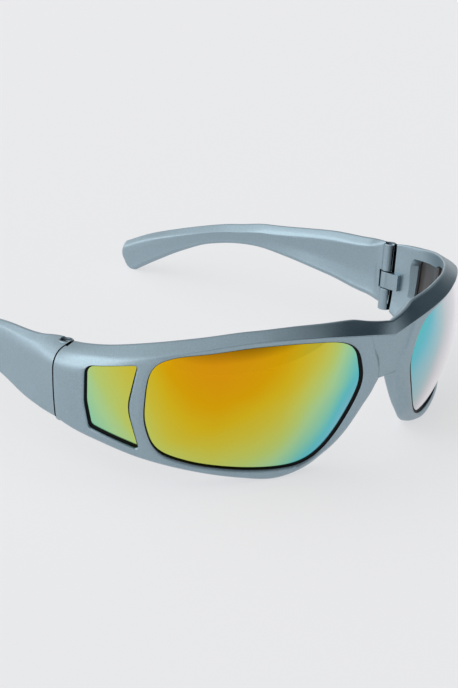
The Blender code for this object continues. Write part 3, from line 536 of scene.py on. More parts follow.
def temple_rings(scoop):
    """The rings of the wearer's left temple, before centring.

    The profile is carried along the temple's line, shrinks over the round tip by the root of one minus t^2.4, and
    has a hollow on its inner face: a sine across the height times a fade in and out along the length.
    """
    joint = wall_middle(SIDE_ARC + JOINT_GAP)
    last, count = TEMPLE_STATION_SHARES[-1], TEMPLE_RINGS
    body = last * (np.linspace(0.0, 1, count) ** TEMPLE_RING_POWER)
    t = np.linspace(0, TIP_LAST_RING, TEMPLE_TIP_RINGS)[1:]
    share = np.concatenate([body, np.full(len(t), last)])
    advance = np.concatenate([0 * body, t]) * TEMPLE_TIP_ROUND
    size = np.concatenate([1 + 0 * body, (1 - t ** TIP_ROUND_POWER) ** 0.5])
    height, thick, tilt, middle, brow, inset = temple_curves(share)
    x = joint[0] - inset
    y = joint[1] + share * TEMPLE_LENGTH
    turn = np.arctan2(np.gradient(x[:count], y[:count]), 1)
    turn = np.concatenate([turn, np.full(len(t), turn[-1])])
    height, slim = height * size, thick * (1 - (1 - size) * TIP_SLIMMING_SHARE)
    thickness = slim - RIDGE_FLAT * size
    zero = 0 * share
    levels = (np.array([0, TEMPLE_KNEE_SHARE, TEMPLE_CREASE_SHARE, 1]) - 0.5)[:, None] * height
    soft = CREASE_SOFT * size
    corners = bar_corners(levels, (zero, zero, slim * brow, TEMPLE_BROW_MIDDLE_SHARE),
                          (thickness, thickness, zero, thickness, zero), soft)
    profile = softened(corners, CORNER_TRIMS + CREASE_CORNERS * soft[:, None], EDGE_POINTS)
    up_share = (profile[..., 1] + height[:, None] / 2) / height[:, None]
    inner = smooth(*HOLLOW_DEPTH_SHARES, profile[..., 0] / slim[:, None])
    reach = smooth(*HOLLOW_START_SHARES, share) * (1 - smooth(*HOLLOW_END_SHARES, share))
    across = np.sin(np.pi * np.clip((up_share - HOLLOW_LOW_SHARE) / HOLLOW_HEIGHT_SHARE, 0, 1)) ** HOLLOW_POWER
    profile[..., 0] -= scoop * reach[:, None] * inner * across
    profile[..., 0] += ((thick - slim) / 2)[:, None]
    zeros = 0 * turn
    inward = np.stack([-np.cos(turn), np.sin(turn), zeros], -1)
    along = np.stack([np.sin(turn) * np.cos(tilt), np.cos(turn) * np.cos(tilt), -np.sin(tilt)], -1)
    up = np.stack([zeros, np.sin(tilt), np.cos(tilt)], -1)
    start = np.stack([x, y, middle], -1) + along * advance[:, None]
    rings = start[:, None] + profile[..., :1] * inward[:, None] + profile[..., 1:] * up[:, None]
    root, _ = front_profiles(np.ones(1), 0)
    root = on_front(np.full(root.shape[1], SIDE_ARC + JOINT_GAP), root[0, :, 1], root[0, :, 0])
    blend = (1 - smooth(0, ROOT_BLEND_SHARE, share))[:, None, None]
    return rings + (root + (np.stack([x - x[0], y - y[0], zeros], -1))[:, None] - rings) * blend


JOINT_POINT = wall_middle(SIDE_ARC)
HINGE_X = JOINT_POINT[0] - HINGE_INSET
HINGE_Y = next(j for j in frame["joints"] if j["name"] == "left_temple_fold")["pos_m"][1]
CENTRE = np.array((0, JOINT_POINT[1] + HINGE_BEHIND_JOINT - HINGE_Y, 0))


def place(mesh, body, material, slot, *nodes):
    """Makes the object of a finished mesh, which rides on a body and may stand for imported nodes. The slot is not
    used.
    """
    thing = bpy.data.objects.new(mesh.name, mesh)
    bpy.context.scene.collection.objects.link(thing)
    mesh.materials.append(material)
    mesh.shade_smooth()
    mesh.set_sharp_from_angle(angle=SHARP_ANGLE)
    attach(thing, body)
    if nodes:
        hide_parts(*nodes)


def combined(mesh, steps):
    """The mesh after a row of Boolean steps, each a cutter or added mesh and its operation."""
    scene = bpy.context.scene
    thing = bpy.data.objects.new("combining", mesh)
    scene.collection.objects.link(thing)
    helpers = []
    for other, operation in steps:
        helper = bpy.data.objects.new("helper", other)
        scene.collection.objects.link(helper)
        helpers.append(helper)
        modifier = thing.modifiers.new("step", "BOOLEAN")
        modifier.object = helper
        modifier.operation = operation
        modifier.solver = "MANIFOLD"
    bpy.context.view_layer.update()
    result = bpy.data.meshes.new_from_object(thing.evaluated_get(bpy.context.evaluated_depsgraph_get()))
    result.name = mesh.name + "_fine"
    for helper in helpers + [thing]:
        bpy.data.objects.remove(helper, do_unlink=True)
    return result


def standing_cylinder(radius, bottom, top, x, y, bevel=0.0):
    """A standing cylinder with small chamfers: rings of the radius, less the chamfer at both ends."""
    levels = ((radius - bevel, bottom), (radius, bottom + bevel), (radius, top - bevel), (radius - bevel, top))
    if not bevel:
        levels = (levels[0], levels[-1])
    return capped_tube("cylinder", turned_rings(levels, x, y, CYLINDER_SEGMENTS))


def turned_rings(profile, x, y, segments):
    """Circles round a standing axis: each of the profile's radii at its height."""
    a = np.arange(segments) * 2 * np.pi / segments
    return np.array([np.stack([x + r * np.cos(a), y + r * np.sin(a), z + 0 * a], -1) for r, z in profile])


def box_mesh(low, high):
    """A box between two corners."""
    mesh = bpy.data.meshes.new("box")
    bm = bmesh.new()
    bmesh.ops.create_cube(bm, size=1)
    bmesh.ops.scale(bm, verts=bm.verts, vec=Vector(high) - Vector(low))
    bmesh.ops.translate(bm, verts=bm.verts, vec=(Vector(high) + Vector(low)) / 2)
    bm.to_mesh(mesh)
    bm.free()
    return mesh


def below_table():
    """A box under the table, which cuts the feet flat."""
    return box_mesh((-FRONT_WIDTH, -FRONT_WIDTH, -FRONT_HEIGHT), (FRONT_WIDTH, FRONT_WIDTH, 0))


class NodeTree:
    """A small helper that adds shader nodes and links them."""

    def __init__(self, tree):
        self.tree = tree

    def feed(self, node, inputs):
        """Links a socket, or sets a plain value, on each named or numbered input."""
        for key, value in inputs.items():
            if isinstance(value, bpy.types.NodeSocket):
                self.tree.links.new(value, node.inputs[key])
            else:
                node.inputs[key].default_value = value

    def add(self, kind, inputs=None, **values):
        """A new node with its settings and inputs."""
        node = self.tree.nodes.new(kind)
        for key, value in values.items():
            setattr(node, key, value)
        self.feed(node, inputs or {})
        return node

    def math(self, operation, *values, clamp=False):
        """The output of a Math node."""
        return self.add("ShaderNodeMath", dict(enumerate(values)), operation=operation, use_clamp=clamp).outputs[0]

    def ramp(self, factor, stops):
        """The colour of a ramp through (place, colour) stops."""
        node = self.add("ShaderNodeValToRGB", {"Fac": factor})
        elements = node.color_ramp.elements
        while len(elements) < len(stops):
            elements.new(0.5)
        for element, (at, colour) in zip(elements, stops):
            element.position = at
            element.color = (*colour, 1)
        return node.outputs["Color"]


def linear(red, green, blue):
    """A linear colour from 0 to 255 display values."""
    c = np.array((red, green, blue)) / 255
    return tuple(float(v) for v in np.where(c <= 0.04045, c / 12.92, ((c + 0.055) / 1.055) ** 2.4))


def flake_group():
    """Fine metal flakes and soft clouding in a paint, as a brightness factor, a roughness change and a height."""
    group = bpy.data.node_groups.get("paint_flakes")
    if group:
        return group
    group = bpy.data.node_groups.new("paint_flakes", "ShaderNodeTree")
    for name, value in (("Flake Size", 0.00018), ("Flake Strength", 0.12), ("Cloud Strength", 0.05)):
        socket = group.interface.new_socket(name, in_out="INPUT", socket_type="NodeSocketFloat")
        socket.default_value = value
    for name in ("Brightness", "Roughness Change", "Height"):
        group.interface.new_socket(name, in_out="OUTPUT", socket_type="NodeSocketFloat")
    n = NodeTree(group)
    given = n.add("NodeGroupInput")
    result = n.add("NodeGroupOutput")
    place_on = n.add("ShaderNodeTexCoord").outputs["Object"]
    scale = n.math("DIVIDE", 1.0, given.outputs["Flake Size"])
    cells = n.add("ShaderNodeTexVoronoi", {"Vector": place_on, "Scale": scale})
    flake = n.add("ShaderNodeSeparateColor", {"Color": cells.outputs["Color"]})
    cloud = n.add("ShaderNodeTexNoise", {"Vector": place_on, "Scale": 120.0, "Detail": 4.0, "Roughness": 0.6})
    grain = n.add("ShaderNodeTexNoise", {"Vector": place_on, "Scale": 2600.0, "Detail": 2.0})
    flake_part = n.math("MULTIPLY", n.math("SUBTRACT", flake.outputs["Red"], 0.5), given.outputs["Flake Strength"])
    cloud_part = n.math("MULTIPLY", n.math("SUBTRACT", cloud.outputs["Fac"], 0.5), given.outputs["Cloud Strength"])
    brightness = n.math("ADD", n.math("ADD", flake_part, cloud_part), 1.0)
    rough = n.math("MULTIPLY", n.math("SUBTRACT", cloud.outputs["Fac"], 0.5), 0.12)
    height = n.math("ADD", grain.outputs["Fac"], n.math("MULTIPLY", flake.outputs["Green"], 0.35))
    n.feed(result, {"Brightness": brightness, "Roughness Change": rough, "Height": height})
    return group


def principled(name):
    """A new material's node helper and its Principled shader."""
    made = bpy.data.materials.new(name)
    made.use_nodes = True
    return made, NodeTree(made.node_tree), made.node_tree.nodes["Principled BSDF"]


def paint_material(name, colour, metallic, roughness):
    """Satin metallic paint over moulded plastic: flakes, faint clouding and a fine orange-peel grain."""
    made, n, shader = principled(name)
    flakes = n.add("ShaderNodeGroup", {"Flake Strength": 0.16, "Cloud Strength": 0.10}, node_tree=flake_group())
    tint = n.add("ShaderNodeVectorMath", {0: colour, "Scale": flakes.outputs["Brightness"]}, operation="SCALE")
    rough = n.math("ADD", flakes.outputs["Roughness Change"], roughness)
    bump = n.add("ShaderNodeBump", {"Strength": 0.12, "Distance": 0.00002, "Height": flakes.outputs["Height"]})
    n.feed(shader, {"Base Color": tint.outputs[0], "Roughness": rough, "Normal": bump.outputs["Normal"],
                    "Metallic": metallic, "Coat Weight": 0.12, "Coat Roughness": 0.25})
    return made


def coat_stops(finish):
    """Colours of the mirror coat from straight on to grazing, each with its place in the row."""
    return [(at, tuple(getattr(finish, "coat_" + name))) for name, at in COAT_PLACES]


def mirror_material(name, finish):
    """A thin mirror coat on a polished lens.

    Its colour runs from orange straight on, through gold, green and blue, to silver and rose at a grazing angle.
    The coat's thickness changes over the lens, which shifts it along the same row of colours beside the nose and
    most of all towards the temple.
    """
    made, n, shader = principled(name)
    facing = n.add("ShaderNodeLayerWeight", {"Blend": 0.5}).outputs["Facing"]
    where = n.add("ShaderNodeSeparateXYZ", {"Vector": n.add("ShaderNodeUVMap", uv_map="lens").outputs["UV"]})
    shift = n.ramp(where.outputs["X"], [(at, (v, v, v)) for at, v in COAT_SHIFTS])
    haze = n.add("ShaderNodeTexNoise", {"Vector": n.add("ShaderNodeTexCoord").outputs["Object"], "Scale": 45.0,
                                        "Detail": 2.0})
    wander = n.math("MULTIPLY", n.math("SUBTRACT", haze.outputs["Fac"], 0.5), 0.015)
    place_in_row = n.math("ADD", n.math("ADD", facing, shift), wander, clamp=True)
    rough = n.math("ADD", n.math("MULTIPLY", haze.outputs["Fac"], 0.03), finish.lens_roughness)
    n.feed(shader, {"Base Color": n.ramp(place_in_row, coat_stops(finish)), "Roughness": rough, "Metallic": 1.0})
    return made


def plain_material(name, colour, roughness, metallic=0.0, grain=400.0, depth=0.00003, spread=0.15):
    """A moulded or turned finish: noise varies its brightness and roughness and gives a fine bump."""
    made, n, shader = principled(name)
    where = n.add("ShaderNodeTexCoord").outputs["Object"]
    noise = n.add("ShaderNodeTexNoise", {"Vector": where, "Scale": grain, "Detail": 5.0, "Roughness": 0.6})
    low = tuple(c * (1 - spread) for c in colour)
    high = tuple(min(c * (1 + spread), 1) for c in colour)
    tone = n.ramp(noise.outputs["Fac"], ((0.3, low), (0.7, high)))
    rough = n.math("ADD", n.math("MULTIPLY", n.math("SUBTRACT", noise.outputs["Fac"], 0.5), 0.2), roughness)
    bump = n.add("ShaderNodeBump", {"Strength": 0.3, "Distance": depth, "Height": noise.outputs["Fac"]})
    n.feed(shader, {"Base Color": tone, "Roughness": rough, "Normal": bump.outputs["Normal"],
                    "Metallic": metallic})
    return made


def painted_shade_material(finish):
    """A near-black finish for painted shade, made once: the shade on the lens seats' walls and in the joints' gaps,
    and its reflection on the lenses' edges.
    """
    made = bpy.data.materials.get("black_lens_seat")
    if made is None:
        made = plain_material("black_lens_seat", finish.seat, 0.5, grain=900.0)
        # Little gloss, so that the painted shade stays dark
        made.node_tree.nodes["Principled BSDF"].inputs["Specular IOR Level"].default_value = 0.12
    return made


class SunglassesSizes(bpy.types.PropertyGroup):
    """Sizes of the fine surfaces."""

    chamfer_width: FloatProperty(name="Chamfer Width", description="Width of the chamfer round each main opening",
                                 default=0.0010, unit="LENGTH")
    chamfer_depth: FloatProperty(name="Chamfer Depth", description="Depth of the chamfer round each main opening",
                                 default=0.00065, unit="LENGTH")
    side_round: FloatProperty(name="Side Edge Round", description="Rounding of the side openings' front edges",
                              default=0.0005, unit="LENGTH")
    panel_depth: FloatProperty(name="Panel Depth", description="How far the bridge panel is sunk into the front",
                               default=0.00045, unit="LENGTH")
    panel_blend: FloatProperty(name="Panel Edge", description="Width of the slope at the bridge panel's edge",
                               default=0.0007, unit="LENGTH")
    scoop_depth: FloatProperty(name="Temple Hollow", description="Depth of the hollow on each temple's inner face",
                               default=0.0009, unit="LENGTH")
    # The seat band is painted shade on each opening's wall, and its lip is a painted reflection of that shade on
    # the lens
    seat_thickness: FloatProperty(name="Seat Thickness", description="Thickness of the black seat round each lens",
                                  default=0.00012, unit="LENGTH")
    reflection_lip_width: FloatProperty(name="Lip Width", description="Widest part of a main lens's black lip",
                             default=0.0011, unit="LENGTH")
    side_reflection_lip_width: FloatProperty(name="Side Lip Width", description="Widest part of a side lens's black lip",
                                  default=0.0005, unit="LENGTH")
    ring_spacing: FloatProperty(name="Ring Spacing", description="Distance between the rings of the front",
                                default=0.00048, unit="LENGTH")
    lens_rings: IntProperty(name="Lens Rings", description="Rings from the middle of a main lens to its edge",
                            default=40)


def coat_property(name, red, green, blue):
    """A colour setting of the mirror coat, from 0 to 255 display values."""
    return FloatVectorProperty(name=f"Coat {name}", description=f"The mirror coat's {name.lower()} stage",
                               subtype="COLOR", default=linear(red, green, blue), size=3)


class SunglassesFinish(bpy.types.PropertyGroup):
    """Colours and gloss of the finishes."""

    paint: FloatVectorProperty(name="Paint", description="Colour of the satin metallic paint", subtype="COLOR",
                               default=linear(155, 175, 185), size=3)
    paint_metallic: FloatProperty(name="Paint Metallic", description="How metallic the paint looks", default=0.92)
    paint_roughness: FloatProperty(name="Paint Roughness", description="Roughness of the paint", default=0.36)
    # Colour of the painted shade on the lens seats' walls and in the joints' gaps, and of its painted reflection on
    # the lenses' edges
    seat: FloatVectorProperty(name="Seat", description="Colour of the black lens seats", subtype="COLOR",
                              default=(0.004, 0.005, 0.006), size=3)
    lens_back: FloatVectorProperty(name="Lens Back", description="Colour of the lenses from behind",
                                   subtype="COLOR", default=linear(88, 82, 80), size=3)
    lens_roughness: FloatProperty(name="Lens Roughness", description="Roughness of the mirror coat", default=0.06)
    coat_orange: coat_property("Orange", 228, 154, 18)
    coat_amber: coat_property("Amber", 226, 170, 12)
    coat_gold: coat_property("Gold", 222, 188, 32)
    coat_yellow: coat_property("Yellow", 215, 199, 62)
    coat_lime: coat_property("Lime", 206, 209, 92)
    coat_pale_green: coat_property("Pale Green", 194, 215, 118)
    coat_mint: coat_property("Mint", 178, 219, 154)
    coat_teal: coat_property("Teal", 144, 213, 180)
    coat_cyan: coat_property("Cyan", 96, 201, 206)
    coat_sky: coat_property("Sky", 108, 198, 212)
    coat_mist: coat_property("Mist", 150, 202, 212)
    coat_silver: coat_property("Silver", 176, 204, 208)
    coat_pearl: coat_property("Pearl", 206, 210, 215)
    coat_rose: coat_property("Rose", 248, 240, 244)
    steel: FloatVectorProperty(name="Steel", description="Colour of the screws", subtype="COLOR",
                               default=(0.58, 0.58, 0.59), size=3)


class SunglassesStage(bpy.types.PropertyGroup):
    """Floor, light and camera."""

    floor: FloatVectorProperty(name="Floor", description="Colour of the floor", subtype="COLOR",
                               default=(0.30, 0.30, 0.305), size=3)
    floor_glow: FloatProperty(name="Floor Glow", description="Light that the floor gives by itself", default=0.60)
    floor_size: FloatProperty(name="Floor Size", description="Width of the floor", default=24.0, unit="LENGTH")
    low_light: FloatVectorProperty(name="Low Light", description="Light near the horizon, in eighths from +X",
                                   default=(0.3, 1.0, 1.6, 1.9, 1.4, 0.82, 0.8, 0.5), size=8)
    middle_light: FloatVectorProperty(name="Middle Light", description="Light half-way up, in eighths from +X",
                                      default=(0.0, 0.2, 0.5, 1.1, 1.4, 0.5, 0.05, 0.0), size=8)
    high_light: FloatVectorProperty(name="High Light", description="Light high up, in eighths from +X",
                                    default=(0.0, 0.5, 1.1, 1.7, 1.5, 0.5, 0.0, 0.0), size=8)
    top_light: FloatProperty(name="Top Light", description="Light from straight above", default=0.75)
    key_strength: FloatProperty(name="Key Strength", description="Strength of the soft key light", default=0.3)


def front_shell_mesh(sizes):
    """The front's blank: rounded profiles carried along the wall from joint to joint.

    The front face sinks by the panel depth inside the bridge panel's line, and the end rings shrink slightly
    towards their middle, which rounds the edges at the joints.
    """
    half = int(SIDE_ARC / sizes.ring_spacing)
    ends = 1 - np.array(END_RING_SHARES)
    shares = np.sort(np.concatenate([np.linspace(-1, 1, 2 * half + 1), ends, -ends]))
    profile, crease = front_profiles(np.abs(shares))
    depth, z = profile[..., 0], profile[..., 1]
    line = through(PANEL_LINE_SHARES, z / FRONT_HEIGHT) * SIDE_ARC
    arc = shares[:, None] * SIDE_ARC
    inside = smooth(0, sizes.panel_blend, line - np.abs(arc))
    front_side = (depth < FACE_LIMIT_SHARE * FRONT_THICKNESS) & (z <= crease[:, None] + BROW_STEP / 4)
    depth = depth + np.where(front_side, sizes.panel_depth * inside, 0)
    out = np.abs(shares) * SIDE_ARC
    ending = smooth(SIDE_ARC - END_ROUND, SIDE_ARC, out)
    shrink = END_ROUND_SHARE * (1 - np.sqrt(1 - 0.999 * ending ** 2))
    middle_d = depth.mean(axis=1, keepdims=True)
    middle_z = z.mean(axis=1, keepdims=True)
    depth = depth + (middle_d - depth) * shrink[:, None]
    z = z + (middle_z - z) * shrink[:, None]
    rings = on_front(arc + 0 * z, z, depth)
    return capped_tube("front_shell", rings - CENTRE)


def paint_joint_shade(mesh, side, facing, black):
    """Paints a joint's end wall near-black, as painted shade in the joint's gap.

    Its faces lie near the joint and are square to the wall's run, or lie in the thin painted line along the joint.
    """
    count = len(mesh.polygons)
    centre, normal = np.empty(count * 3), np.empty(count * 3)
    mesh.polygons.foreach_get("center", centre)
    mesh.polygons.foreach_get("normal", normal)
    arcs = np.array([SIDE_ARC - JOINT_GAP, SIDE_ARC])
    along = np.diff(on_front(arcs, np.full(2, FRONT_HEIGHT / 2), np.zeros(2)), axis=0)[0]
    along = along / np.linalg.norm(along) * (side, 1, 1)
    away = centre.reshape(-1, 3) - (JOINT_POINT - CENTRE) * (side, 1, 1)
    near = np.linalg.norm(away, axis=1) < END_WALL_REACH_SHARE * TEMPLE_ROOT_HEIGHT
    away = np.abs(away @ along)
    square = normal.reshape(-1, 3) @ along * facing > END_WALL_SQUARE
    if len(mesh.materials) < 2:
        mesh.materials.append(black)
    index = np.empty(count, dtype=np.int32)
    mesh.polygons.foreach_get("material_index", index)
    index[near & ((square & (away < END_WALL_DEPTH)) | (away < JOINT_SHADE_LINE))] = 1
    mesh.polygons.foreach_set("material_index", index)


def opening_cutter(loop, lip, flare, edge, side):
    """A solid that cuts one opening: its outlines carried through a row of outward offsets and depths."""
    groove_front, groove_back = LENS_EDGE_INSET - FIT_GAP, LENS_EDGE_INSET + LENS_THICKNESS + FIT_GAP
    wide = grown(loop, GROOVE_DEPTH)
    rims = [(grown(loop, out), deep) for out, deep in edge]
    rims += [(loop, groove_front), (wide, groove_front), (wide, groove_back), (lip, groove_back),
             (lip, groove_back + SIDE_LIP_THICKNESS), (flare, FRONT_THICKNESS + RIDGE_FLAT),
             (flare, FRONT_THICKNESS + CUT_OVERRUN)]
    return plate("opening", rims, 0, side)


class OBJECT_OT_sunglasses_front(bpy.types.Operator):
    """Builds the painted front with its openings, chamfers, hinge tongues and the painted shade of its lens seats.
    """

    bl_idname = "object.sunglasses_front"
    bl_label = "Front"

    def execute(self, context):
        sizes, finish = context.scene.sunglasses_sizes, context.scene.sunglasses_finish
        paint = paint_material("satin_silver_paint", finish.paint, finish.paint_metallic, finish.paint_roughness)
        seat = painted_shade_material(finish)
        # Rows of an edge: how far outside the opening, and how deep behind the wall
        width, deep = sizes.chamfer_width, sizes.chamfer_depth
        chamfer = ((width + 0.0006, -CUT_OVERRUN), (width + 0.0003, -0.0001), (width + 0.0001, 0.00003),
                   (width - 0.0001, 0.0001), (0.00012, deep - 0.00008), (0.00003, deep + 0.00002),
                   (0, deep + 0.00012))
        r = sizes.side_round
        rounding = ((r + 0.0004, -CUT_OVERRUN), (r + 0.00015, -0.00008), (0.7 * r, 0.06 * r), (0.35 * r, 0.25 * r),
                    (0.1 * r, 0.6 * r), (0, r))
        steps = []
        seats = []
        for side, word in SIDES:
            opening = main_opening()
            side_loop, lip, flare = side_openings()
            steps.append((opening_cutter(opening, opening, opening, chamfer, side), "DIFFERENCE"))
            steps.append((opening_cutter(side_loop, lip, flare, rounding, side), "DIFFERENCE"))
            rebate = np.array(PILLAR_REBATE_SHARES) * (SIDE_ARC, FRONT_HEIGHT)
            rebate = rounded_outline(rebate, [PILLAR_REBATE_RADIUS] * len(rebate), REBATE_CORNER_POINTS)
            rebate = stepped(rebate, REBATE_OUTLINE_STEP)
            behind = ((rebate, LENS_EDGE_INSET + LENS_THICKNESS / 2), (rebate, FRONT_THICKNESS + CUT_OVERRUN))
            steps.append((plate("rebate", behind, 0, side), "DIFFERENCE"))
            steps += hinge_tongue(side)
            # Black rings round each opening: painted shade on its wall and a painted reflection of that shade on
            # the lens's edge
            for kind, loop, edge, lip in (("main", opening, deep, sizes.reflection_lip_width),
                                          ("side", side_loop, r, sizes.side_reflection_lip_width)):
                seats.append(self.seat_ring(f"lens_seat_{kind}_{word}", loop, edge, lip, sizes, side))
        mesh = combined(front_shell_mesh(sizes), steps + [(below_table(), "DIFFERENCE")])
        mesh.name = "front_shell"
        mesh.materials.clear()
        place(mesh, "front", paint, "frame_paint", "front_frame")
        # Painted shade in the joint gaps: the front's end walls turn near-black
        for side, _ in SIDES:
            paint_joint_shade(mesh, side, 1, seat)
        for ring in seats:
            place(ring, "front", seat, "frame_paint")
        return {"FINISHED"}

    @staticmethod
    def seat_ring(name, loop, edge, lip, sizes, side):
        """A black band of painted shade on an opening's wall, with a lip on the lens that paints the shaded wall's
        reflection: a small closed profile round the outline.

        The lip's width is the product of a curve of arc shares and one of height shares, so it is widest beside
        the nose and below. The profile's rows are how far outside the opening, and how deep behind the wall.
        """
        thin = sizes.seat_thickness
        low = LENS_EDGE_INSET - 0.00005
        along, height = (loop / (SIDE_ARC, FRONT_HEIGHT)).T
        width = (thin + lip * through(PAINTED_LIP_ARC_SHARES, along) * through(PAINTED_LIP_HEIGHT_SHARES, height))[:, None]
        profile = ((-0.00002, edge + 0.0001), (-thin, edge + 0.00018), (-thin - 0.1 * width, low - 0.0003),
                   (-width, low - 0.00012), (-width, low), (0.0004, low), (0.0004, low - 0.00014),
                   (-0.00002, low - 0.0002))
        rings = np.array([on_front(*grown(loop, out).T, np.full(len(loop), deep)) for out, deep in profile])
        rings = np.swapaxes(rings, 0, 1) - CENTRE
        return solid(name, rings.reshape(-1, 3), [grid_faces(*rings.shape[:2], looped=True)], side)


def hinge_tongue(side):
    """Boolean steps for one end of the front: room for the knuckles, then the tongue with its eye and hole."""
    x = side * HINGE_X
    clear = KNUCKLE_RADIUS + FIT_GAP
    inner, outer = x - side * (clear + CUT_OVERRUN), x + side * clear
    relief = box_mesh((min(inner, outer), HINGE_Y - clear - KNUCKLE_FRONT_GAP, -CUT_OVERRUN),
                      (max(inner, outer), HINGE_Y + clear, FRONT_HEIGHT + CUT_OVERRUN))
    half_web = TONGUE_WEB_SHARE * KNUCKLE_RADIUS
    web = box_mesh((x - half_web, HINGE_Y - TONGUE_LENGTH, TONGUE_BOTTOM), (x + half_web, HINGE_Y, TONGUE_TOP))
    eye = standing_cylinder(KNUCKLE_RADIUS, TONGUE_BOTTOM, TONGUE_TOP, x, HINGE_Y, TONGUE_BEVEL)
    hole = standing_cylinder(SCREW_RADIUS + FIT_GAP, TONGUE_BOTTOM - CUT_OVERRUN, TONGUE_TOP + CUT_OVERRUN, x,
                             HINGE_Y)
    return [(relief, "DIFFERENCE"), (web, "UNION"), (eye, "UNION"), (hole, "DIFFERENCE")]


class OBJECT_OT_sunglasses_lenses(bpy.types.Operator):
    """Builds the mirror lenses, with a tinted back."""

    bl_idname = "object.sunglasses_lenses"
    bl_label = "Lenses"

    def execute(self, context):
        sizes, finish = context.scene.sunglasses_sizes, context.scene.sunglasses_finish
        mirror = mirror_material("mirror_coat", finish)
        back = plain_material("tinted_lens_back", finish.lens_back, 0.16, grain=60.0, depth=0.000005, spread=0.1)
        gloss = back.node_tree.nodes["Principled BSDF"].inputs
        gloss["Coat Weight"].default_value = 0.5
        gloss["Coat Roughness"].default_value = 0.08
        kinds = (("lens", main_opening(), LENS_BULGE, sizes.lens_rings),
                 ("side_lens", side_openings()[0], SIDE_LENS_BULGE, SIDE_LENS_RINGS))
        for side, word in SIDES:
            for kind, loop, bulge, count in kinds:
                self.lens(f"{kind}_{word}", loop, bulge, count, side, (mirror, back))
        return {"FINISHED"}

    @staticmethod
    def lens(node, loop, bulge, count, side, finishes):
        """One lens: two bulged faces joined by a rounded edge, which has the back's finish.

        Its UV map holds arc and height shares.
        """
        reach = GROOVE_DEPTH - FIT_GAP
        front, back = LENS_EDGE_INSET, LENS_EDGE_INSET + LENS_THICKNESS
        r = LENS_EDGE_ROUND
        rims = [(grown(loop, reach - r), front), (grown(loop, reach - 0.3 * r), front + 0.3 * r),
                (grown(loop, reach), front + r), (grown(loop, reach), back - r),
                (grown(loop, reach - 0.3 * r), back - 0.3 * r), (grown(loop, reach - r), back)]
        shares = np.linspace(0, 1, count + 1)[1:]
        mesh = plate(f"{node}_mirror", rims, bulge, side, tuple(shares))
        flat = []
        for rim in (rims[0][0], rims[-1][0]):
            centre = rim.mean(axis=0)
            flat += [centre[None], (centre + (rim - centre) * shares[:, None, None]).reshape(-1, 2)]
        flat += [rim for rim, _ in rims[1:-1]]
        flat = np.concatenate(flat) / (SIDE_ARC, FRONT_HEIGHT)
        corner = np.empty(len(mesh.loops), dtype=np.int32)
        mesh.loops.foreach_get("vertex_index", corner)
        layer = mesh.uv_layers.new(name="lens")
        layer.data.foreach_set("uv", flat[corner].astype(np.float32).ravel())
        place(mesh, "front", finishes[0], "mirror_lens", node)
        mesh.materials.append(finishes[1])
        first = np.zeros(len(mesh.polygons), dtype=np.int32)
        mesh.polygons.foreach_get("loop_start", first)
        front_points = 1 + count * len(loop)
        mesh.polygons.foreach_set("material_index", (corner[first] >= front_points).astype(np.int32))


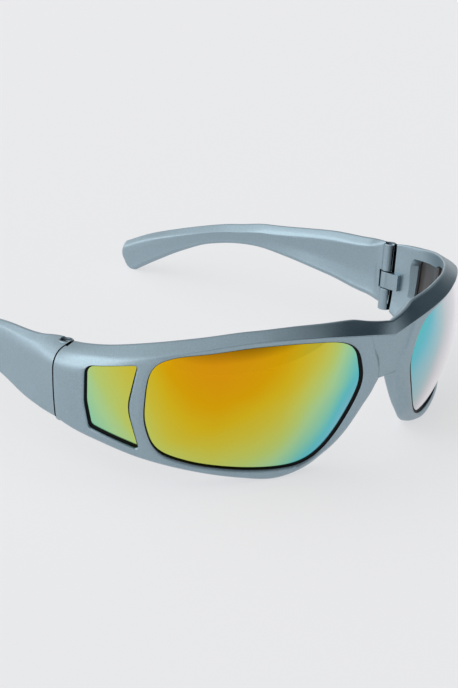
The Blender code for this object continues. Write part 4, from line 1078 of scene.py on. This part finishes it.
class OBJECT_OT_sunglasses_temples(bpy.types.Operator):
    """Builds the two temples with their knuckles, slots and screw bores, and the two hinge screws."""

    bl_idname = "object.sunglasses_temples"
    bl_label = "Temples and Screws"

    def execute(self, context):
        sizes, finish = context.scene.sunglasses_sizes, context.scene.sunglasses_finish
        paint = paint_material("satin_temple_paint", finish.paint, finish.paint_metallic, finish.paint_roughness)
        black = painted_shade_material(finish)
        steel = plain_material("turned_steel", finish.steel, 0.28, metallic=1.0, grain=3000.0, depth=0.00001)
        rings = temple_rings(sizes.scoop_depth) - CENTRE
        for side, word in SIDES:
            blank = capped_tube(f"temple_shell_{word}", rings, side)
            mesh = combined(blank, self.hinge_steps(side))
            mesh.name = f"temple_shell_{word}"
            mesh.materials.clear()
            place(mesh, f"{word}_temple", paint, "temple_paint", f"temple_{word}")
            # Painted shade in the joint gap: the temple's end wall turns near-black
            paint_joint_shade(mesh, side, -1, black)
            screw = self.screw(word, side)
            place(screw, f"{word}_temple", steel, "screw_steel", f"hinge_screw_{word}")
        return {"FINISHED"}

    @staticmethod
    def hinge_steps(side):
        """Boolean steps for one temple: knuckles, the tongue's slot, the screw's bore and seat, the foot's flat."""
        x = side * HINGE_X
        steps = []
        for bottom, top in ((TONGUE_TOP + FIT_GAP, KNUCKLE_TOP), (KNUCKLE_BOTTOM, TONGUE_BOTTOM - FIT_GAP)):
            steps.append((standing_cylinder(KNUCKLE_RADIUS, bottom, top, x, HINGE_Y, KNUCKLE_BEVEL), "UNION"))
        slot_radius = KNUCKLE_RADIUS + FIT_GAP
        inner, outer = x - side * TONGUE_LENGTH, x + side * slot_radius
        slot = box_mesh((min(inner, outer), HINGE_Y - TONGUE_LENGTH, TONGUE_BOTTOM - FIT_GAP),
                        (max(inner, outer), HINGE_Y + slot_radius, TONGUE_TOP + FIT_GAP))
        bore = standing_cylinder(SCREW_RADIUS + FIT_GAP, KNUCKLE_BOTTOM + SCREW_END_COVER, FRONT_HEIGHT, x,
                                 HINGE_Y)
        head = KNUCKLE_TOP - SCREW_HEAD_INSET - SCREW_HEAD_HEIGHT - FIT_GAP
        seat = standing_cylinder(SCREW_HEAD_RADIUS + FIT_GAP, head, FRONT_HEIGHT, x, HINGE_Y)
        return steps + [(cutter, "DIFFERENCE") for cutter in (slot, bore, seat, below_table())]

    @staticmethod
    def screw(word, side):
        """A turned screw: circles of the profile's radii at its heights, with a straight slot cut in the head."""
        top = KNUCKLE_TOP - SCREW_HEAD_INSET
        low = top - SCREW_HEAD_HEIGHT
        tip = KNUCKLE_BOTTOM + SCREW_END_COVER + FIT_GAP
        r, s, e = SCREW_HEAD_RADIUS, SCREW_RADIUS, SCREW_EDGE
        profile = ((0.5 * r, top), (0.8 * r, top - 0.3 * e), (r - 0.4 * e, top - 0.8 * e), (r, top - 2 * e),
                   (r, low + e), (r - e, low), (s, low), (s, tip + e), (s - e, tip))
        x, half = side * HINGE_X, SCREW_SLOT_WIDTH / 2
        rings = turned_rings(profile, x, HINGE_Y, SCREW_SEGMENTS)
        slot = box_mesh((x - half, HINGE_Y - 2 * r, top - SCREW_SLOT_DEPTH), (x + half, HINGE_Y + 2 * r, top + r))
        mesh = combined(capped_tube("hinge_pin", rings), [(slot, "DIFFERENCE")])
        mesh.name = f"hinge_pin_{word}"
        mesh.materials.clear()
        return mesh


class OBJECT_OT_sunglasses_stage(bpy.types.Operator):
    """Sets out the pale floor, the soft studio light and the camera at the photograph's angle."""

    bl_idname = "object.sunglasses_stage"
    bl_label = "Stage, Light and Camera"

    def execute(self, context):
        stage = context.scene.sunglasses_stage
        self.floor(stage)
        self.world(stage)
        key = bpy.data.lights.new("soft_key", "SUN")
        key.energy = stage.key_strength
        key.angle = KEY_ANGLE
        lamp = bpy.data.objects.new("soft_key", key)
        lamp.rotation_euler = Vector(KEY_DIRECTION).to_track_quat("Z", "Y").to_euler()
        context.scene.collection.objects.link(lamp)
        self.camera()
        context.scene.view_settings.view_transform = "Standard"
        return {"FINISHED"}

    @staticmethod
    def floor(stage):
        """A wide flat floor just under the sunglasses."""
        half = stage.floor_size / 2
        mesh = bpy.data.meshes.new("floor")
        corners = [(-half, -half, 0), (half, -half, 0), (half, half, 0), (-half, half, 0)]
        mesh.from_pydata(corners, [], [(0, 1, 2, 3)])
        made, n, shader = principled("pale_floor")
        noise = n.add("ShaderNodeTexNoise", {"Vector": n.add("ShaderNodeTexCoord").outputs["Object"], "Scale": 3.0,
                                             "Detail": 2.0})
        low = tuple(c * FLOOR_TONE_SHARE for c in stage.floor)
        tone = n.ramp(noise.outputs["Fac"], ((0.3, low), (0.7, tuple(stage.floor))))
        path = n.add("ShaderNodeLightPath")
        seen = n.math("MAXIMUM", path.outputs["Is Camera Ray"], path.outputs["Is Glossy Ray"])
        seen = n.math("MAXIMUM", seen, path.outputs["Is Transmission Ray"])
        n.feed(shader, {"Base Color": tone, "Roughness": 0.75, "Specular IOR Level": 0.15,
                        "Emission Color": FLOOR_GLOW_COLOUR,
                        "Emission Strength": n.math("MULTIPLY", seen, stage.floor_glow)})
        mesh.materials.append(made)
        thing = bpy.data.objects.new("floor", mesh)
        bpy.context.scene.collection.objects.link(thing)

    @staticmethod
    def world(stage):
        """A studio round the table: bright on the wearer's right and behind, dark in front and on the left.

        The light runs between eight levels round each of three heights, and to one level straight above. The
        camera sees a plain pale backdrop instead.
        """
        world = bpy.data.worlds.new("studio")
        bpy.context.scene.world = world
        world.use_nodes = True
        n = NodeTree(world.node_tree)
        background = world.node_tree.nodes["Background"]
        towards = n.add("ShaderNodeTexCoord").outputs["Generated"]
        split = n.add("ShaderNodeSeparateXYZ", {"Vector": towards})
        turn = n.math("ARCTAN2", split.outputs["Y"], split.outputs["X"])
        turn = n.math("FRACT", n.math("DIVIDE", turn, 2 * math.pi))
        room = 0.0
        heights = (stage.low_light, stage.middle_light, stage.high_light, [stage.top_light] * 8)
        for step, levels in enumerate(heights):
            round_about = n.ramp(turn, [(i / 8, (levels[i % 8],) * 3) for i in range(9)])
            stops = [(at, (float(i == step),) * 3) for i, at in enumerate(WORLD_HEIGHTS)]
            share = n.ramp(split.outputs["Z"], stops)
            room = n.math("ADD", room, n.math("MULTIPLY", round_about, share))
        tinted = n.add("ShaderNodeCombineColor", {"Red": room, "Green": n.math("ADD", room, ROOM_GREEN),
                                                  "Blue": n.math("ADD", room, ROOM_BLUE)})
        by_camera = n.add("ShaderNodeLightPath").outputs["Is Camera Ray"]
        seen = n.add("ShaderNodeMix", {"Factor": by_camera, "A": tinted.outputs["Color"], "B": BACKDROP_COLOUR},
                     data_type="RGBA")
        n.feed(background, {"Color": seen.outputs["Result"]})

    @staticmethod
    def camera():
        """The camera at the photograph's angle.

        It looks from the front right and from above at the target, turned about its own axis by the roll.
        """
        flat = math.cos(CAMERA_ELEVATION)
        back = Vector((math.sin(CAMERA_AZIMUTH) * flat, -math.cos(CAMERA_AZIMUTH) * flat,
                       math.sin(CAMERA_ELEVATION)))
        right = (-back).cross(Vector((0, 0, 1))).normalized()
        up = right.cross(-back)
        across = right * math.cos(CAMERA_ROLL) + up * math.sin(CAMERA_ROLL)
        upward = up * math.cos(CAMERA_ROLL) - right * math.sin(CAMERA_ROLL)
        data = bpy.data.cameras.new("photo_camera")
        data.sensor_fit = "VERTICAL"
        data.sensor_height = SENSOR_HEIGHT
        data.lens = CAMERA_FOCAL_PIXELS * SENSOR_HEIGHT / IMAGE_HEIGHT
        data.clip_start = 0.01
        thing = bpy.data.objects.new("photo_camera", data)
        matrix = Matrix((across, upward, back)).transposed().to_4x4()
        matrix.translation = Vector(CAMERA_TARGET) - Vector(CENTRE) + back * CAMERA_DISTANCE
        thing.matrix_world = matrix
        bpy.context.scene.collection.objects.link(thing)
        bpy.context.scene.camera = thing


class VIEW3D_PT_sunglasses(bpy.types.Panel):
    """Lists the steps that build the sunglasses."""

    bl_label = "Sunglasses"
    bl_idname = "VIEW3D_PT_sunglasses"
    bl_space_type = "VIEW_3D"
    bl_region_type = "UI"
    bl_category = "Sunglasses"

    def draw(self, context):
        column = self.layout.column(align=True)
        for step in STEPS:
            column.operator(step.bl_idname)
        for group in (context.scene.sunglasses_sizes, context.scene.sunglasses_finish,
                      context.scene.sunglasses_stage):
            box = self.layout.box()
            for name in group.__annotations__:
                box.prop(group, name)


STEPS = (OBJECT_OT_sunglasses_front, OBJECT_OT_sunglasses_lenses, OBJECT_OT_sunglasses_temples,
         OBJECT_OT_sunglasses_stage)
GROUPS = (SunglassesSizes, SunglassesFinish, SunglassesStage)
CLASSES = GROUPS + STEPS + (VIEW3D_PT_sunglasses,)


def register():
    """Registers the classes and the scene's settings."""
    for made in CLASSES:
        bpy.utils.register_class(made)
    bpy.types.Scene.sunglasses_sizes = PointerProperty(type=SunglassesSizes)
    bpy.types.Scene.sunglasses_finish = PointerProperty(type=SunglassesFinish)
    bpy.types.Scene.sunglasses_stage = PointerProperty(type=SunglassesStage)


def unregister():
    """Removes the scene's settings and the classes."""
    del bpy.types.Scene.sunglasses_sizes
    del bpy.types.Scene.sunglasses_finish
    del bpy.types.Scene.sunglasses_stage
    for made in reversed(CLASSES):
        bpy.utils.unregister_class(made)


def main():
    """Registers the add-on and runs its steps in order."""
    register()
    bpy.ops.object.sunglasses_front()
    bpy.ops.object.sunglasses_lenses()
    bpy.ops.object.sunglasses_temples()
    bpy.ops.object.sunglasses_stage()


if __name__ == "__main__":
    main()
